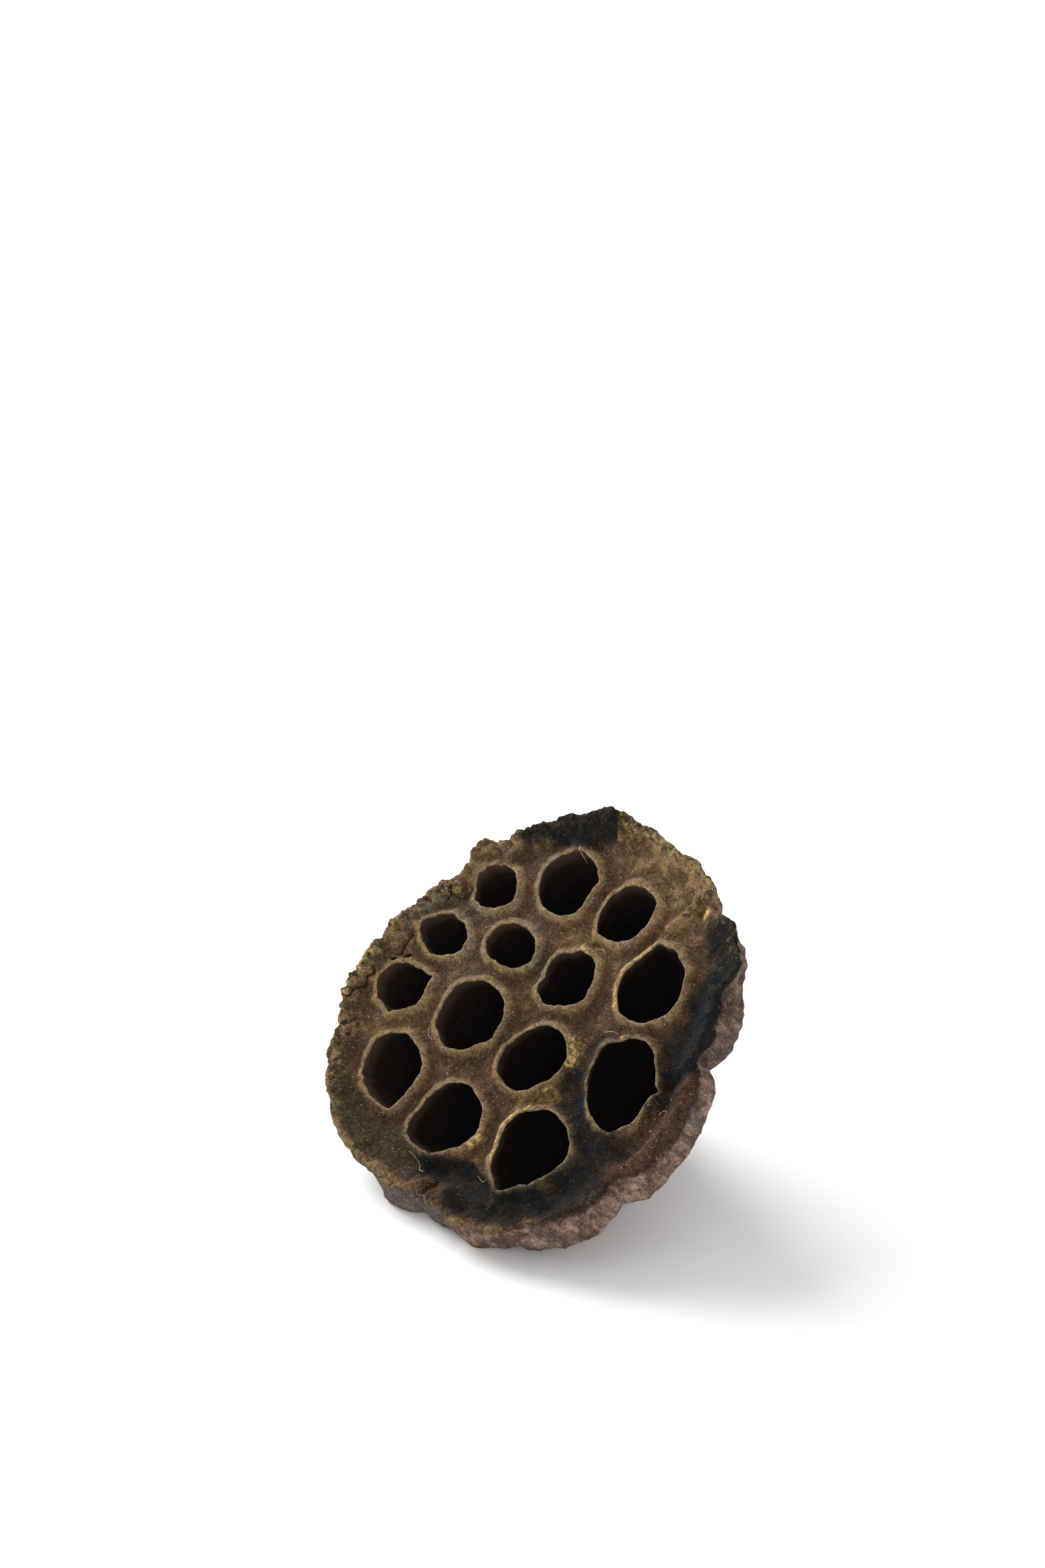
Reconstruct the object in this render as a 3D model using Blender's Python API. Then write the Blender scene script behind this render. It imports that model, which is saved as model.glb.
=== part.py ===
"""A dried lotus pod, cut just below its head and lying on its side.

The pod is one grown piece. It is modelled in its growth frame, in metres: the origin is at the middle of the
rim, +Z points out of the face, and the stem runs down -Z. The object is then turned and lowered until it
rests on two swellings of its shoulder and on the end of the stem, each pressed a little flat.
"""

import math
from collections import namedtuple

import bmesh
import bpy
from mathutils import Euler, Vector, noise
from mathutils.geometry import delaunay_2d_cdt

MM = 0.001

# The rim: turn about the growth axis in degrees, then the radius and the height of its crest.
RimPoint = namedtuple("RimPoint", "turn radius height")
RIM = (
    RimPoint(0, 41.0 * MM, 0.2 * MM),
    RimPoint(8, 38.8 * MM, -0.8 * MM),
    RimPoint(19, 39.8 * MM, 0.2 * MM),
    RimPoint(29, 41.2 * MM, -0.2 * MM),
    RimPoint(35, 45.8 * MM, 0.8 * MM),
    RimPoint(46, 45.4 * MM, 0.4 * MM),
    RimPoint(56, 43.2 * MM, -0.9 * MM),
    RimPoint(63, 44.9 * MM, 0.3 * MM),
    RimPoint(75, 43.9 * MM, 0.2 * MM),
    RimPoint(88, 44.4 * MM, -0.2 * MM),
    RimPoint(100, 46.2 * MM, 1.1 * MM),
    RimPoint(110, 44.5 * MM, 0.5 * MM),
    RimPoint(122, 44.2 * MM, 0.7 * MM),
    RimPoint(133, 43.2 * MM, -0.3 * MM),
    RimPoint(140, 44.2 * MM, 0.4 * MM),
    RimPoint(150, 42.0 * MM, -1.0 * MM),
    RimPoint(162, 42.8 * MM, 0.1 * MM),
    RimPoint(174, 44.8 * MM, 0.6 * MM),
    RimPoint(184, 45.9 * MM, 0.9 * MM),
    RimPoint(192, 47.3 * MM, 1.2 * MM),
    RimPoint(201, 46.6 * MM, 0.5 * MM),
    RimPoint(213, 47.9 * MM, 1.2 * MM),
    RimPoint(226, 48.0 * MM, 0.9 * MM),
    RimPoint(240, 46.8 * MM, 0.6 * MM),
    RimPoint(249, 44.6 * MM, -0.6 * MM),
    RimPoint(256, 44.4 * MM, 0.0 * MM),
    RimPoint(264, 41.0 * MM, -1.1 * MM),
    RimPoint(273, 42.8 * MM, 0.0 * MM),
    RimPoint(283, 44.6 * MM, 0.5 * MM),
    RimPoint(292, 45.4 * MM, 0.4 * MM),
    RimPoint(301, 44.4 * MM, -0.3 * MM),
    RimPoint(315, 44.5 * MM, 0.4 * MM),
    RimPoint(327, 41.6 * MM, -0.6 * MM),
    RimPoint(342, 43.4 * MM, 0.6 * MM),
    RimPoint(351, 42.2 * MM, 0.3 * MM),
)
CRINKLE = 0.35 * MM          # how far the rim's small waves go in and out
CRINKLE_WAVES = (23, 36)     # how many of them go round
RIM_POINTS = 144

# The seats, one for each seed: the middle, the opening's length and width, the turn of its length in degrees,
# and the soft corners that its neighbours press into it: how many, their share of the radius, and their turn.
Seat = namedtuple("Seat", "x y length width turn corners share corner_turn")
SEATS = (
    Seat(-26.0 * MM, 21.5 * MM, 11.5 * MM, 9.5 * MM, 175, 4, 0.03, 85),
    Seat(-10.5 * MM, 28.0 * MM, 14.0 * MM, 13.5 * MM, 120, 3, 0.035, 60),
    Seat(6.5 * MM, 27.0 * MM, 13.5 * MM, 11.0 * MM, 65, 4, 0.035, 45),
    Seat(-31.5 * MM, 8.0 * MM, 11.5 * MM, 9.0 * MM, 0, 4, 0.045, 85),
    Seat(-15.0 * MM, 11.5 * MM, 12.5 * MM, 9.0 * MM, 178, 3, 0.01, 0),
    Seat(2.0 * MM, 10.0 * MM, 13.0 * MM, 11.5 * MM, 65, 4, 0.065, 60),
    Seat(21.0 * MM, 15.5 * MM, 16.5 * MM, 14.0 * MM, 85, 3, 0.04, 98),
    Seat(-34.5 * MM, -5.5 * MM, 12.5 * MM, 10.5 * MM, 10, 3, 0.04, 30),
    Seat(-15.5 * MM, -5.0 * MM, 16.0 * MM, 15.0 * MM, 35, 3, 0.02, 12),
    Seat(4.0 * MM, -7.5 * MM, 15.5 * MM, 13.0 * MM, 50, 3, 0.01, 97),
    Seat(26.0 * MM, -4.5 * MM, 19.0 * MM, 15.0 * MM, 110, 3, 0.03, 45),
    Seat(-26.0 * MM, -21.5 * MM, 16.0 * MM, 13.5 * MM, 130, 4, 0.035, 30),
    Seat(-7.5 * MM, -26.0 * MM, 17.0 * MM, 14.5 * MM, 45, 3, 0.045, 110),
    Seat(14.5 * MM, -24.0 * MM, 17.5 * MM, 15.5 * MM, 60, 3, 0.065, 15),
)
SEAT_STEP = 2.25 * MM        # between the points round a seat
SEAT_LEAN = 70.0 * MM        # the seats' axes meet this far below the face
SEAT_DEPTH = 8.5 * MM        # a seat's depth, less its share of the radius
DEPTH_PER_RADIUS = 1.0
# A seat's chamber from its mouth down: share of the depth, and the radius as a share of the mouth's.
CHAMBER = ((0.07, 1.03), (0.26, 1.07), (0.54, 0.98), (0.78, 0.76), (0.94, 0.42))

# The face: its level, the raised lips round the seats, and the swellings and folds between them.
FACE_DROP = 2.3 * MM         # from the rim's crest down to the face
RIM_ROLL = 6.0 * MM          # the width over which the rim rolls down to the face
LIP_HEIGHT = 1.25 * MM
LIP_CREST = 0.8 * MM         # from a seat's edge out to its lip's crest
LIP_WIDTH = 0.85 * MM
SINK = 0.7 * MM              # how far the face sinks between the lips
SINK_REACH = 2.5 * MM
HUMMOCK = 0.45 * MM
HUMMOCK_SIZE = 8.0 * MM
FOLD = 0.4 * MM              # the border's folds, which run along the rim
FOLD_STEP = 4.4 * MM
LIP_RINGS = (0.8 * MM, 1.75 * MM)    # where points stand outside a seat's edge
RIM_RINGS = (1.5 * MM, 3.4 * MM)     # where points stand inside the rim's crest
FACE_STEP = 2.5 * MM

# The outer wall: a shoulder that swells over the seats, creases, ribs, and a taper down to the stem.
SHOULDER_DEPTH = 7.5 * MM
ShoulderPoint = namedtuple("ShoulderPoint", "turn radius")
SHOULDER = (
    ShoulderPoint(0, 42.8 * MM),
    ShoulderPoint(11, 41.4 * MM),
    ShoulderPoint(22, 43.8 * MM),
    ShoulderPoint(31, 42.6 * MM),
    ShoulderPoint(40, 44.2 * MM),
    ShoulderPoint(55, 43.4 * MM),
    ShoulderPoint(75, 44.3 * MM),
    ShoulderPoint(92, 44.4 * MM),
    ShoulderPoint(110, 45.6 * MM),
    ShoulderPoint(130, 44.6 * MM),
    ShoulderPoint(150, 44.0 * MM),
    ShoulderPoint(168, 45.8 * MM),
    ShoulderPoint(190, 46.8 * MM),
    ShoulderPoint(204, 45.6 * MM),
    ShoulderPoint(221, 47.0 * MM),
    ShoulderPoint(238, 46.0 * MM),
    ShoulderPoint(256, 47.5 * MM),
    ShoulderPoint(269, 44.9 * MM),
    ShoulderPoint(284, 46.5 * MM),
    ShoulderPoint(295, 46.5 * MM),
    ShoulderPoint(311, 48.4 * MM),
    ShoulderPoint(326, 45.7 * MM),
    ShoulderPoint(338, 45.9 * MM),
    ShoulderPoint(351, 44.4 * MM),
)
Crease = namedtuple("Crease", "turn depth width")
CREASES = (
    Crease(10, 2.2 * MM, 3.0),
    Crease(57, 0.9 * MM, 3.5),
    Crease(151, 1.4 * MM, 4.0),
    Crease(203, 0.8 * MM, 3.5),
    Crease(264, 1.2 * MM, 3.5),
    Crease(327, 0.9 * MM, 4.0),
)
CREASE_REACH = 16.0 * MM
RIBS = 24
RIB_HEIGHT = 0.45 * MM
WALL_BUCKLE = 0.6 * MM
WALL_BUCKLE_SIZE = 11.0 * MM
NECK_RADIUS = 5.2 * MM
NECK_DEPTH = 42.0 * MM
STUB_RADIUS = 4.6 * MM
STUB_END = 48.5 * MM
STUB_DISH = 1.2 * MM         # how far the stub's pith has shrunk back from its cut
# The wall's rows between the shoulder and the neck: the depth, and how many points go round.
WALL_ROWS = (
    (10.5 * MM, 144), (14.5 * MM, 96), (19.5 * MM, 72), (25.0 * MM, 48), (31.0 * MM, 48), (36.5 * MM, 24),
)
STUB_POINTS = 24

# Lying on its side: how far the lowest points are pressed flat.
PRESSED = 0.5 * MM

DRIED_BROWN = (0.105, 0.072, 0.045, 1.0)


def smooth_step(value):
    value = min(max(value, 0.0), 1.0)
    return value * value * (3 - 2 * value)


def turn_between(a, b):
    """The smallest turn from one direction to another, in degrees."""
    return abs((a - b + 180) % 360 - 180)


def round_the_pod(points, turn):
    """The values at a turn in degrees, on a smooth curve through points that each start with their own turn."""
    turn %= 360
    after = next((i for i, point in enumerate(points) if point.turn > turn), len(points))
    before, after = points[after - 1], points[after % len(points)]
    share = smooth_step((turn - before.turn) / ((after.turn - before.turn) % 360))
    return [a + (b - a) * share for a, b in zip(before[1:], after[1:])]


def rim_at(turn):
    """The rim crest's radius and height at a turn in degrees, small waves included."""
    radius, height = round_the_pod(RIM, turn)
    angle = math.radians(turn)
    first, second = CRINKLE_WAVES
    crinkle = math.sin(first * angle + 1.3) * math.sin(3 * angle + 0.4)
    crinkle += 0.8 * math.sin(second * angle + 2.1) * math.sin(5 * angle + 1.9)
    return radius + CRINKLE * crinkle, height + 0.8 * CRINKLE * math.cos(first * angle)


def seat_radius(seat, angle):
    """The distance from a seat's middle to its edge, in the direction of an angle in radians."""
    middle = (seat.length + seat.width) / 4
    oval = (seat.length - seat.width) / 4
    radius = middle + oval * math.cos(2 * (angle - math.radians(seat.turn)))
    corner = math.cos(seat.corners * (angle - math.radians(seat.corner_turn)))
    return radius + middle * seat.share * corner


def beyond_seat(seat, x, y):
    """How far a point of the face lies outside a seat's edge, less than 0 inside it."""
    across, along = x - seat.x, y - seat.y
    return math.hypot(across, along) - seat_radius(seat, math.atan2(along, across))


def beyond_seats(x, y):
    return min(beyond_seat(seat, x, y) for seat in SEATS)


def inside_rim(x, y):
    """How far a point of the face lies inside the rim's crest."""
    return rim_at(math.degrees(math.atan2(y, x)))[0] - math.hypot(x, y)


def face_height(x, y):
    """The face's relief: the rolled rim, the seats' lips, the sinks between them, hummocks and folds."""
    turn = math.degrees(math.atan2(y, x))
    from_rim = inside_rim(x, y)
    from_seat = max(beyond_seats(x, y), 0.0)
    roll = smooth_step(from_rim / RIM_ROLL)
    height = rim_at(turn)[1] * (1 - smooth_step(from_rim / (2 * RIM_ROLL))) - FACE_DROP * roll
    height += LIP_HEIGHT * math.exp(-(((from_seat - LIP_CREST) / LIP_WIDTH) ** 2)) * roll
    height -= SINK * (1 - math.exp(-from_seat / SINK_REACH)) * roll
    height += HUMMOCK * noise.noise(Vector((x, y, 0.0)) / HUMMOCK_SIZE) * roll
    open_face = roll * smooth_step((from_seat - 2 * LIP_WIDTH) / (2 * LIP_WIDTH))
    wander = 1.5 * noise.noise(Vector((x, y, HUMMOCK_SIZE)) / HUMMOCK_SIZE)
    return height + FOLD * open_face * math.sin(2 * math.pi * from_rim / FOLD_STEP + wander)


def wall_relief(turn, depth):
    """How far ribs, buckles and creases move the outer wall out or in, at a turn and a depth below the rim."""
    angle = math.radians(turn)
    ribs = RIB_HEIGHT * (1 - abs(math.sin(RIBS * (angle + 0.04 * math.sin(3 * angle)) / 2)) * 2)
    place = Vector((math.cos(angle), math.sin(angle), 0.0)) * SHOULDER[0].radius - Vector((0, 0, depth))
    buckle = WALL_BUCKLE * noise.noise(place / WALL_BUCKLE_SIZE)
    taper = smooth_step((NECK_DEPTH - depth) / (NECK_DEPTH - SHOULDER_DEPTH))
    relief = (ribs + buckle) * (0.35 + 0.65 * taper)
    for crease in CREASES:
        across = math.exp(-((turn_between(turn, crease.turn) / crease.width) ** 2))
        relief -= crease.depth * across * (1 - smooth_step((depth - SHOULDER_DEPTH) / CREASE_REACH))
    return relief


def wall_point(turn, depth):
    """A point of the outer wall between the shoulder and the neck, which tapers almost straight."""
    share = (depth - SHOULDER_DEPTH) / (NECK_DEPTH - SHOULDER_DEPTH)
    straight = round_the_pod(SHOULDER, turn)[0] * (1 - share) + NECK_RADIUS * share
    belly = 1.5 * MM * math.sin(math.pi * min(1.6 * share, 1.0))
    flare = -1.2 * MM * math.sin(math.pi * share) * share
    radius = straight + belly + flare + wall_relief(turn, depth)
    angle = math.radians(turn)
    return Vector((radius * math.cos(angle), radius * math.sin(angle), -depth))


def ring(mesh, points):
    return [mesh.verts.new(point) for point in points]


def turns(count):
    return [360 * i / count for i in range(count)]


def stitch(mesh, upper, lower):
    """Joins two rings of vertices, which may differ in number, with triangles that face out of them.

    Both rings run anticlockwise seen from above and start at the same turn.
    """
    i = j = 0
    while i < len(upper) or j < len(lower):
        a, b = upper[i % len(upper)], lower[j % len(lower)]
        if (i + 1) / len(upper) <= (j + 1) / len(lower) and i < len(upper):
            mesh.faces.new((a, b, upper[(i + 1) % len(upper)]))
            i += 1
        else:
            mesh.faces.new((a, b, lower[(j + 1) % len(lower)]))
            j += 1


def fan(mesh, loop, middle, downward):
    """Closes a ring with triangles to a middle point, facing down the growth axis or up it."""
    centre = mesh.verts.new(middle)
    for a, b in zip(loop, loop[1:] + loop[:1]):
        mesh.faces.new((b, a, centre) if downward else (a, b, centre))


def seat_points(seat, beyond=0.0):
    """Points round a seat, a stated distance outside its edge, as (x, y)."""
    middle = (seat.length + seat.width) / 4
    count = round(2 * math.pi * middle / SEAT_STEP)
    angles = [2 * math.pi * i / count for i in range(count)]
    radii = [seat_radius(seat, angle) + beyond for angle in angles]
    return [(seat.x + r * math.cos(a), seat.y + r * math.sin(a)) for r, a in zip(radii, angles)]


def rim_points(inward=0.0):
    """Points round the rim, a stated distance inside its crest, as (x, y)."""
    places = []
    for turn in turns(RIM_POINTS):
        radius = rim_at(turn)[0] - inward
        angle = math.radians(turn)
        places.append((radius * math.cos(angle), radius * math.sin(angle)))
    return places


def face_points():
    """The points of the face between its edges, as (x, y): rings by the lips and the rim, then an even field."""
    points = []
    for inward in RIM_RINGS:
        points += [p for p in rim_points(inward) if beyond_seats(*p) > LIP_CREST]
    for beyond in LIP_RINGS:
        for seat in SEATS:
            others = [other for other in SEATS if other is not seat]
            for place in seat_points(seat, beyond):
                apart = min(beyond_seat(other, *place) for other in others)
                if apart > beyond + 0.35 * MM and inside_rim(*place) > RIM_RINGS[-1] + 0.6 * MM:
                    points.append(place)
    rows = int(50 * MM / FACE_STEP)
    for row in range(-rows, rows + 1):
        for column in range(-rows, rows + 1):
            x = (column + 0.5 * (row % 2)) * FACE_STEP
            y = row * FACE_STEP * math.sqrt(3) / 2
            spot = Vector((x, y, 1.0 * MM)) / FACE_STEP
            x += 0.3 * FACE_STEP * noise.noise(spot)
            y += 0.3 * FACE_STEP * noise.noise(spot + Vector((0, 0, 7.5)))
            clear_of_rim = inside_rim(x, y) > RIM_RINGS[-1] + 0.45 * FACE_STEP
            if clear_of_rim and beyond_seats(x, y) > LIP_RINGS[-1] + 0.45 * FACE_STEP:
                points.append((x, y))
    return points


def loop_edges(start, count):
    return [(start + i, start + (i + 1) % count) for i in range(count)]


def add_face(mesh):
    """The face as one sheet between the rim's crest and the seats' edges. No modelling tool makes a relief with
    openings that keep their own edges, so its triangles are laid by hand. Gives the crest and the edges."""
    loops = [rim_points()] + [seat_points(seat) for seat in SEATS]
    places, edges, starts = [], [], []
    for loop in loops:
        starts.append(len(places))
        edges += loop_edges(len(places), len(loop))
        places += loop
    places += face_points()
    flat = [Vector(place) for place in places]
    laid, _, triangles, sources, _, _ = delaunay_2d_cdt(flat, edges, [], 0, 1e-7)
    verts = [None] * len(places)
    new_of = [None] * len(laid)
    for index, source in enumerate(sources):
        x, y = places[source[0]]
        new_of[index] = verts[source[0]] = mesh.verts.new((x, y, face_height(x, y)))
    owner = [k for k, loop in enumerate(loops) for _ in loop]
    for triangle in triangles:
        owners = {owner[s] if s < len(owner) else None for s in (sources[t][0] for t in triangle)}
        middle = sum((laid[t] for t in triangle), Vector((0, 0))) / 3
        in_seat = len(owners) == 1 and None not in owners and 0 not in owners and beyond_seats(*middle) < 0
        past_rim = owners == {0} and inside_rim(*middle) < 0
        if not in_seat and not past_rim:
            mesh.faces.new([new_of[t] for t in triangle])
    return [verts[start:start + len(loop)] for start, loop in zip(starts, loops)]


def add_chamber(mesh, seat, edge):
    """The hollow below a seat's edge: it widens a little under the lip, leans in and rounds to its floor."""
    middle = (seat.length + seat.width) / 4
    depth = SEAT_DEPTH + DEPTH_PER_RADIUS * middle
    mouth = Vector((seat.x, seat.y, sum(v.co.z for v in edge) / len(edge)))
    axis = (Vector((0, 0, -SEAT_LEAN)) - mouth).normalized()
    above = edge
    for share, width in CHAMBER:
        points = []
        for vert in edge:
            out = vert.co - mouth
            level = out.z * (1 - share)
            points.append(mouth + axis * depth * share + Vector((out.x * width, out.y * width, level)))
        below = ring(mesh, points)
        stitch(mesh, below, above)
        above = below
    fan(mesh, above, mouth + axis * depth, downward=False)


def add_wall(mesh, crest):
    """The outer wall, from the rim's crest down to the neck. Gives its last ring."""
    lip, under, above_shoulder, shoulder = [], [], [], []
    for turn, vert in zip(turns(RIM_POINTS), crest):
        radius, height = rim_at(turn)
        wide = round_the_pod(SHOULDER, turn)[0] + wall_relief(turn, SHOULDER_DEPTH)
        angle = math.radians(turn)
        for points, out, up in (
            (lip, radius + 0.5 * MM, height - 0.8 * MM),
            (under, radius + 0.35 * (wide - radius) + 0.3 * MM, 0.6 * height - 2.6 * MM),
            (above_shoulder, radius + 0.85 * (wide - radius), -4.8 * MM),
            (shoulder, wide, -SHOULDER_DEPTH),
        ):
            points.append((out * math.cos(angle), out * math.sin(angle), up))
    above = crest
    for points in (lip, under, above_shoulder, shoulder):
        below = ring(mesh, points)
        stitch(mesh, above, below)
        above = below
    for depth, count in WALL_ROWS:
        below = ring(mesh, [wall_point(turn, depth) for turn in turns(count)])
        stitch(mesh, above, below)
        above = below
    return above


def add_stub(mesh, above):
    """The short stub of the stem and its cut end, where the pith has shrunk back."""
    rows = (
        (NECK_RADIUS, NECK_DEPTH), (STUB_RADIUS, NECK_DEPTH + 2.0 * MM), (STUB_RADIUS, STUB_END - 0.3 * MM),
        (STUB_RADIUS - 0.35 * MM, STUB_END), (STUB_RADIUS - 1.1 * MM, STUB_END),
        (STUB_RADIUS - 1.8 * MM, STUB_END - STUB_DISH),
    )
    for radius, depth in rows:
        points = []
        for turn in turns(STUB_POINTS):
            angle = math.radians(turn)
            out = radius * (1 + 0.03 * math.sin(8 * angle) + 0.04 * math.cos(2 * angle))
            points.append((out * math.cos(angle), out * math.sin(angle), -depth))
        below = ring(mesh, points)
        stitch(mesh, above, below)
        above = below
    fan(mesh, above, (0, 0, -STUB_END + STUB_DISH), downward=True)


def lying_turn(mesh):
    """The turn about X that lays the pod down, found where its shoulder and its stub are equally low."""
    stub = [v.co for v in mesh.verts if v.co.z < -NECK_DEPTH - 1.0 * MM]
    head = [v.co for v in mesh.verts if v.co.z > -NECK_DEPTH / 2]
    least, most = math.radians(20), math.radians(70)
    for _ in range(30):
        middle = (least + most) / 2
        turned = Euler((middle, 0, 0)).to_matrix()
        if min((turned @ co).z for co in stub) < min((turned @ co).z for co in head):
            least = middle
        else:
            most = middle
    return middle


def lay_down(mesh, obj):
    """Turns and lowers the object onto its side, pressing its lowest points flat, over the middle of its box."""
    obj.rotation_euler = (lying_turn(mesh), 0, 0)
    turned = obj.rotation_euler.to_matrix()
    places = [turned @ v.co for v in mesh.verts]
    ground = min(place.z for place in places) + PRESSED
    middle = [(min(p[axis] for p in places) + max(p[axis] for p in places)) / 2 for axis in (0, 1)]
    obj.location = (-middle[0], -middle[1], -ground)
    back = turned.inverted()
    for vert, place in zip(mesh.verts, places):
        if place.z < ground:
            place.z = ground
            vert.co = back @ place


def dried_material():
    material = bpy.data.materials.new("dried_pod")
    material.use_nodes = True
    shader = material.node_tree.nodes["Principled BSDF"]
    shader.inputs["Base Color"].default_value = DRIED_BROWN
    shader.inputs["Roughness"].default_value = 0.8
    shader.inputs["Metallic"].default_value = 0.0
    return material


def build_receptacle(collection):
    mesh = bmesh.new()
    crest, *edges = add_face(mesh)
    for seat, edge in zip(SEATS, edges):
        add_chamber(mesh, seat, edge)
    add_stub(mesh, add_wall(mesh, crest))
    data = bpy.data.meshes.new("receptacle")
    obj = bpy.data.objects.new("receptacle", data)
    collection.objects.link(obj)
    lay_down(mesh, obj)
    mesh.to_mesh(data)
    mesh.free()
    data.materials.append(dried_material())
    data.shade_smooth()
    return obj


def main():
    for obj in list(bpy.data.objects):
        bpy.data.objects.remove(obj, do_unlink=True)
    collection = bpy.data.collections.new("dried_lotus_pod")
    bpy.context.scene.collection.children.link(collection)
    build_receptacle(collection)


main()
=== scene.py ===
"""The looks of a dried lotus pod that lies on its side: its skin, its dust and fibres, and a plain studio.

The pod's skin is built in its growth frame, in metres: the origin is at the middle of the rim, +Z points out
of the face, and the stem runs down -Z. It is then laid down where the frame has the solid pod.
"""

import logging
import math
from collections.abc import Callable
from dataclasses import dataclass, field
from enum import Enum
from functools import reduce

import bpy
import numpy as np
from mathutils import Euler, Matrix, Vector, noise
from mathutils.bvhtree import BVHTree
from mathutils.geometry import delaunay_2d_cdt


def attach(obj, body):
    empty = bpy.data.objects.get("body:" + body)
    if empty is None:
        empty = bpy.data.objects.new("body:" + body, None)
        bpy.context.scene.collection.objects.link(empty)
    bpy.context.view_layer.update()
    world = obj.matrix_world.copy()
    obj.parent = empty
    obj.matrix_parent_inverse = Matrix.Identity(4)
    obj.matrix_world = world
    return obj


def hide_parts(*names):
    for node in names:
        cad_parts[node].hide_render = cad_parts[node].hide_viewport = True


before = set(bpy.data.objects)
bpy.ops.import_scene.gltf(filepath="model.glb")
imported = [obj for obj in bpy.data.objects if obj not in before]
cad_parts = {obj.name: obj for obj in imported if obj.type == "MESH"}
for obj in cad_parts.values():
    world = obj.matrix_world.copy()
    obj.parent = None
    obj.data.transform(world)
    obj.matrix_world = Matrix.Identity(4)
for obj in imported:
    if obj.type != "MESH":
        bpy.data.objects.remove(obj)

log = logging.getLogger("lotus_pod")
MM = 0.001
FOLDED_GAIN = 2.2
FOLDED_MEAN = 0.5
Colour = tuple[float, float, float]
Places = tuple[tuple[float, float], ...]
LayDown = Callable[[np.ndarray], np.ndarray]
Socket = bpy.types.NodeSocket


@dataclass(frozen=True)
class RimPoint:
    """A point of the rim's crest: its turn about the growth axis in degrees, its radius and its height."""

    turn: float
    radius: float
    height: float


@dataclass(frozen=True)
class ShoulderPoint:
    """A point of the wall's widest line: its turn about the growth axis in degrees and its radius."""

    turn: float
    radius: float


@dataclass(frozen=True)
class CrustPoint:
    """How deep the rim's crust is nicked at a turn about the growth axis in degrees."""

    turn: float
    depth: float


@dataclass(frozen=True)
class Crease:
    """A fold that runs down the wall from the rim: its turn, its depth and its width in degrees."""

    turn: float
    depth: float
    width: float


@dataclass(frozen=True)
class Seat:
    """A seed's seat: its middle, its opening's length and width, the turn of its length in degrees, and the
    soft corners that its neighbours press into it: how many, their share of the radius, and their turn. Each
    nick is a sharp corner or a dent in its edge: its direction in degrees, how far out in millimetres, and
    its width in degrees."""

    x: float
    y: float
    length: float
    width: float
    turn: float
    corners: int
    share: float
    corner_turn: float
    nicks: tuple[tuple[float, float, float], ...] = ()

    @property
    def middle_radius(self) -> float:
        """The opening's mean radius."""
        return (self.length + self.width) / 4


RIM = tuple(RimPoint(turn, radius * MM, height * MM) for turn, radius, height in (
    (0, 41, 0.2), (8, 38.8, -0.8), (19, 39.8, 0.2), (29, 41.2, -0.2), (35, 45.8, 0.8), (46, 45.4, 0.4),
    (54, 42.9, -0.9), (57, 44.4, 0.3), (63, 45, 0.3), (75, 43.9, 0.2), (88, 44.4, -0.2), (100, 46.2, 1.1),
    (110, 44.5, 0.5), (122, 43.4, 0.5), (133, 43.2, -0.3), (140, 44.2, 0.4), (150, 42, -1),
    (162, 42.8, 0.1), (174, 44.8, 0.6), (184, 45.9, 0.9), (192, 47.3, 1.2), (201, 46.6, 0.5),
    (213, 47.9, 1.2), (226, 48, 0.9), (240, 46.8, 0.6), (249, 44.6, -0.6), (256, 44.4, 0),
    (264, 41, -1.1), (273, 42.8, 0), (283, 44.6, 0.5), (292, 45.4, 0.4), (301, 44.4, -0.3),
    (315, 44.5, 0.4), (327, 41.6, -0.6), (342, 43.4, 0.6), (351, 42.2, 0.3),
))
SHOULDER = tuple(ShoulderPoint(turn, radius * MM) for turn, radius in (
    (0, 42.8), (11, 41.4), (22, 43.8), (31, 42.6), (40, 44.2), (55, 43.4), (75, 44.3), (92, 44.4),
    (110, 45), (130, 44), (150, 44), (168, 45.8), (190, 46.8), (204, 45.6), (221, 47), (238, 46),
    (256, 47.5), (269, 44.9), (284, 46.5), (295, 46.5), (311, 48.4), (326, 45.7), (338, 45.9), (351, 44.4),
))
CRUST = tuple(CrustPoint(turn, depth * MM) for turn, depth in (
    (5, 0.25), (38, 0.5), (58, 0.3), (85, 0.35), (98, 0.7), (122, 0.95), (150, 0.8), (176, 1.05),
    (196, 1), (215, 0.65), (240, 0.6), (262, 0.8), (288, 0.5), (325, 0.35),
))
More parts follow.
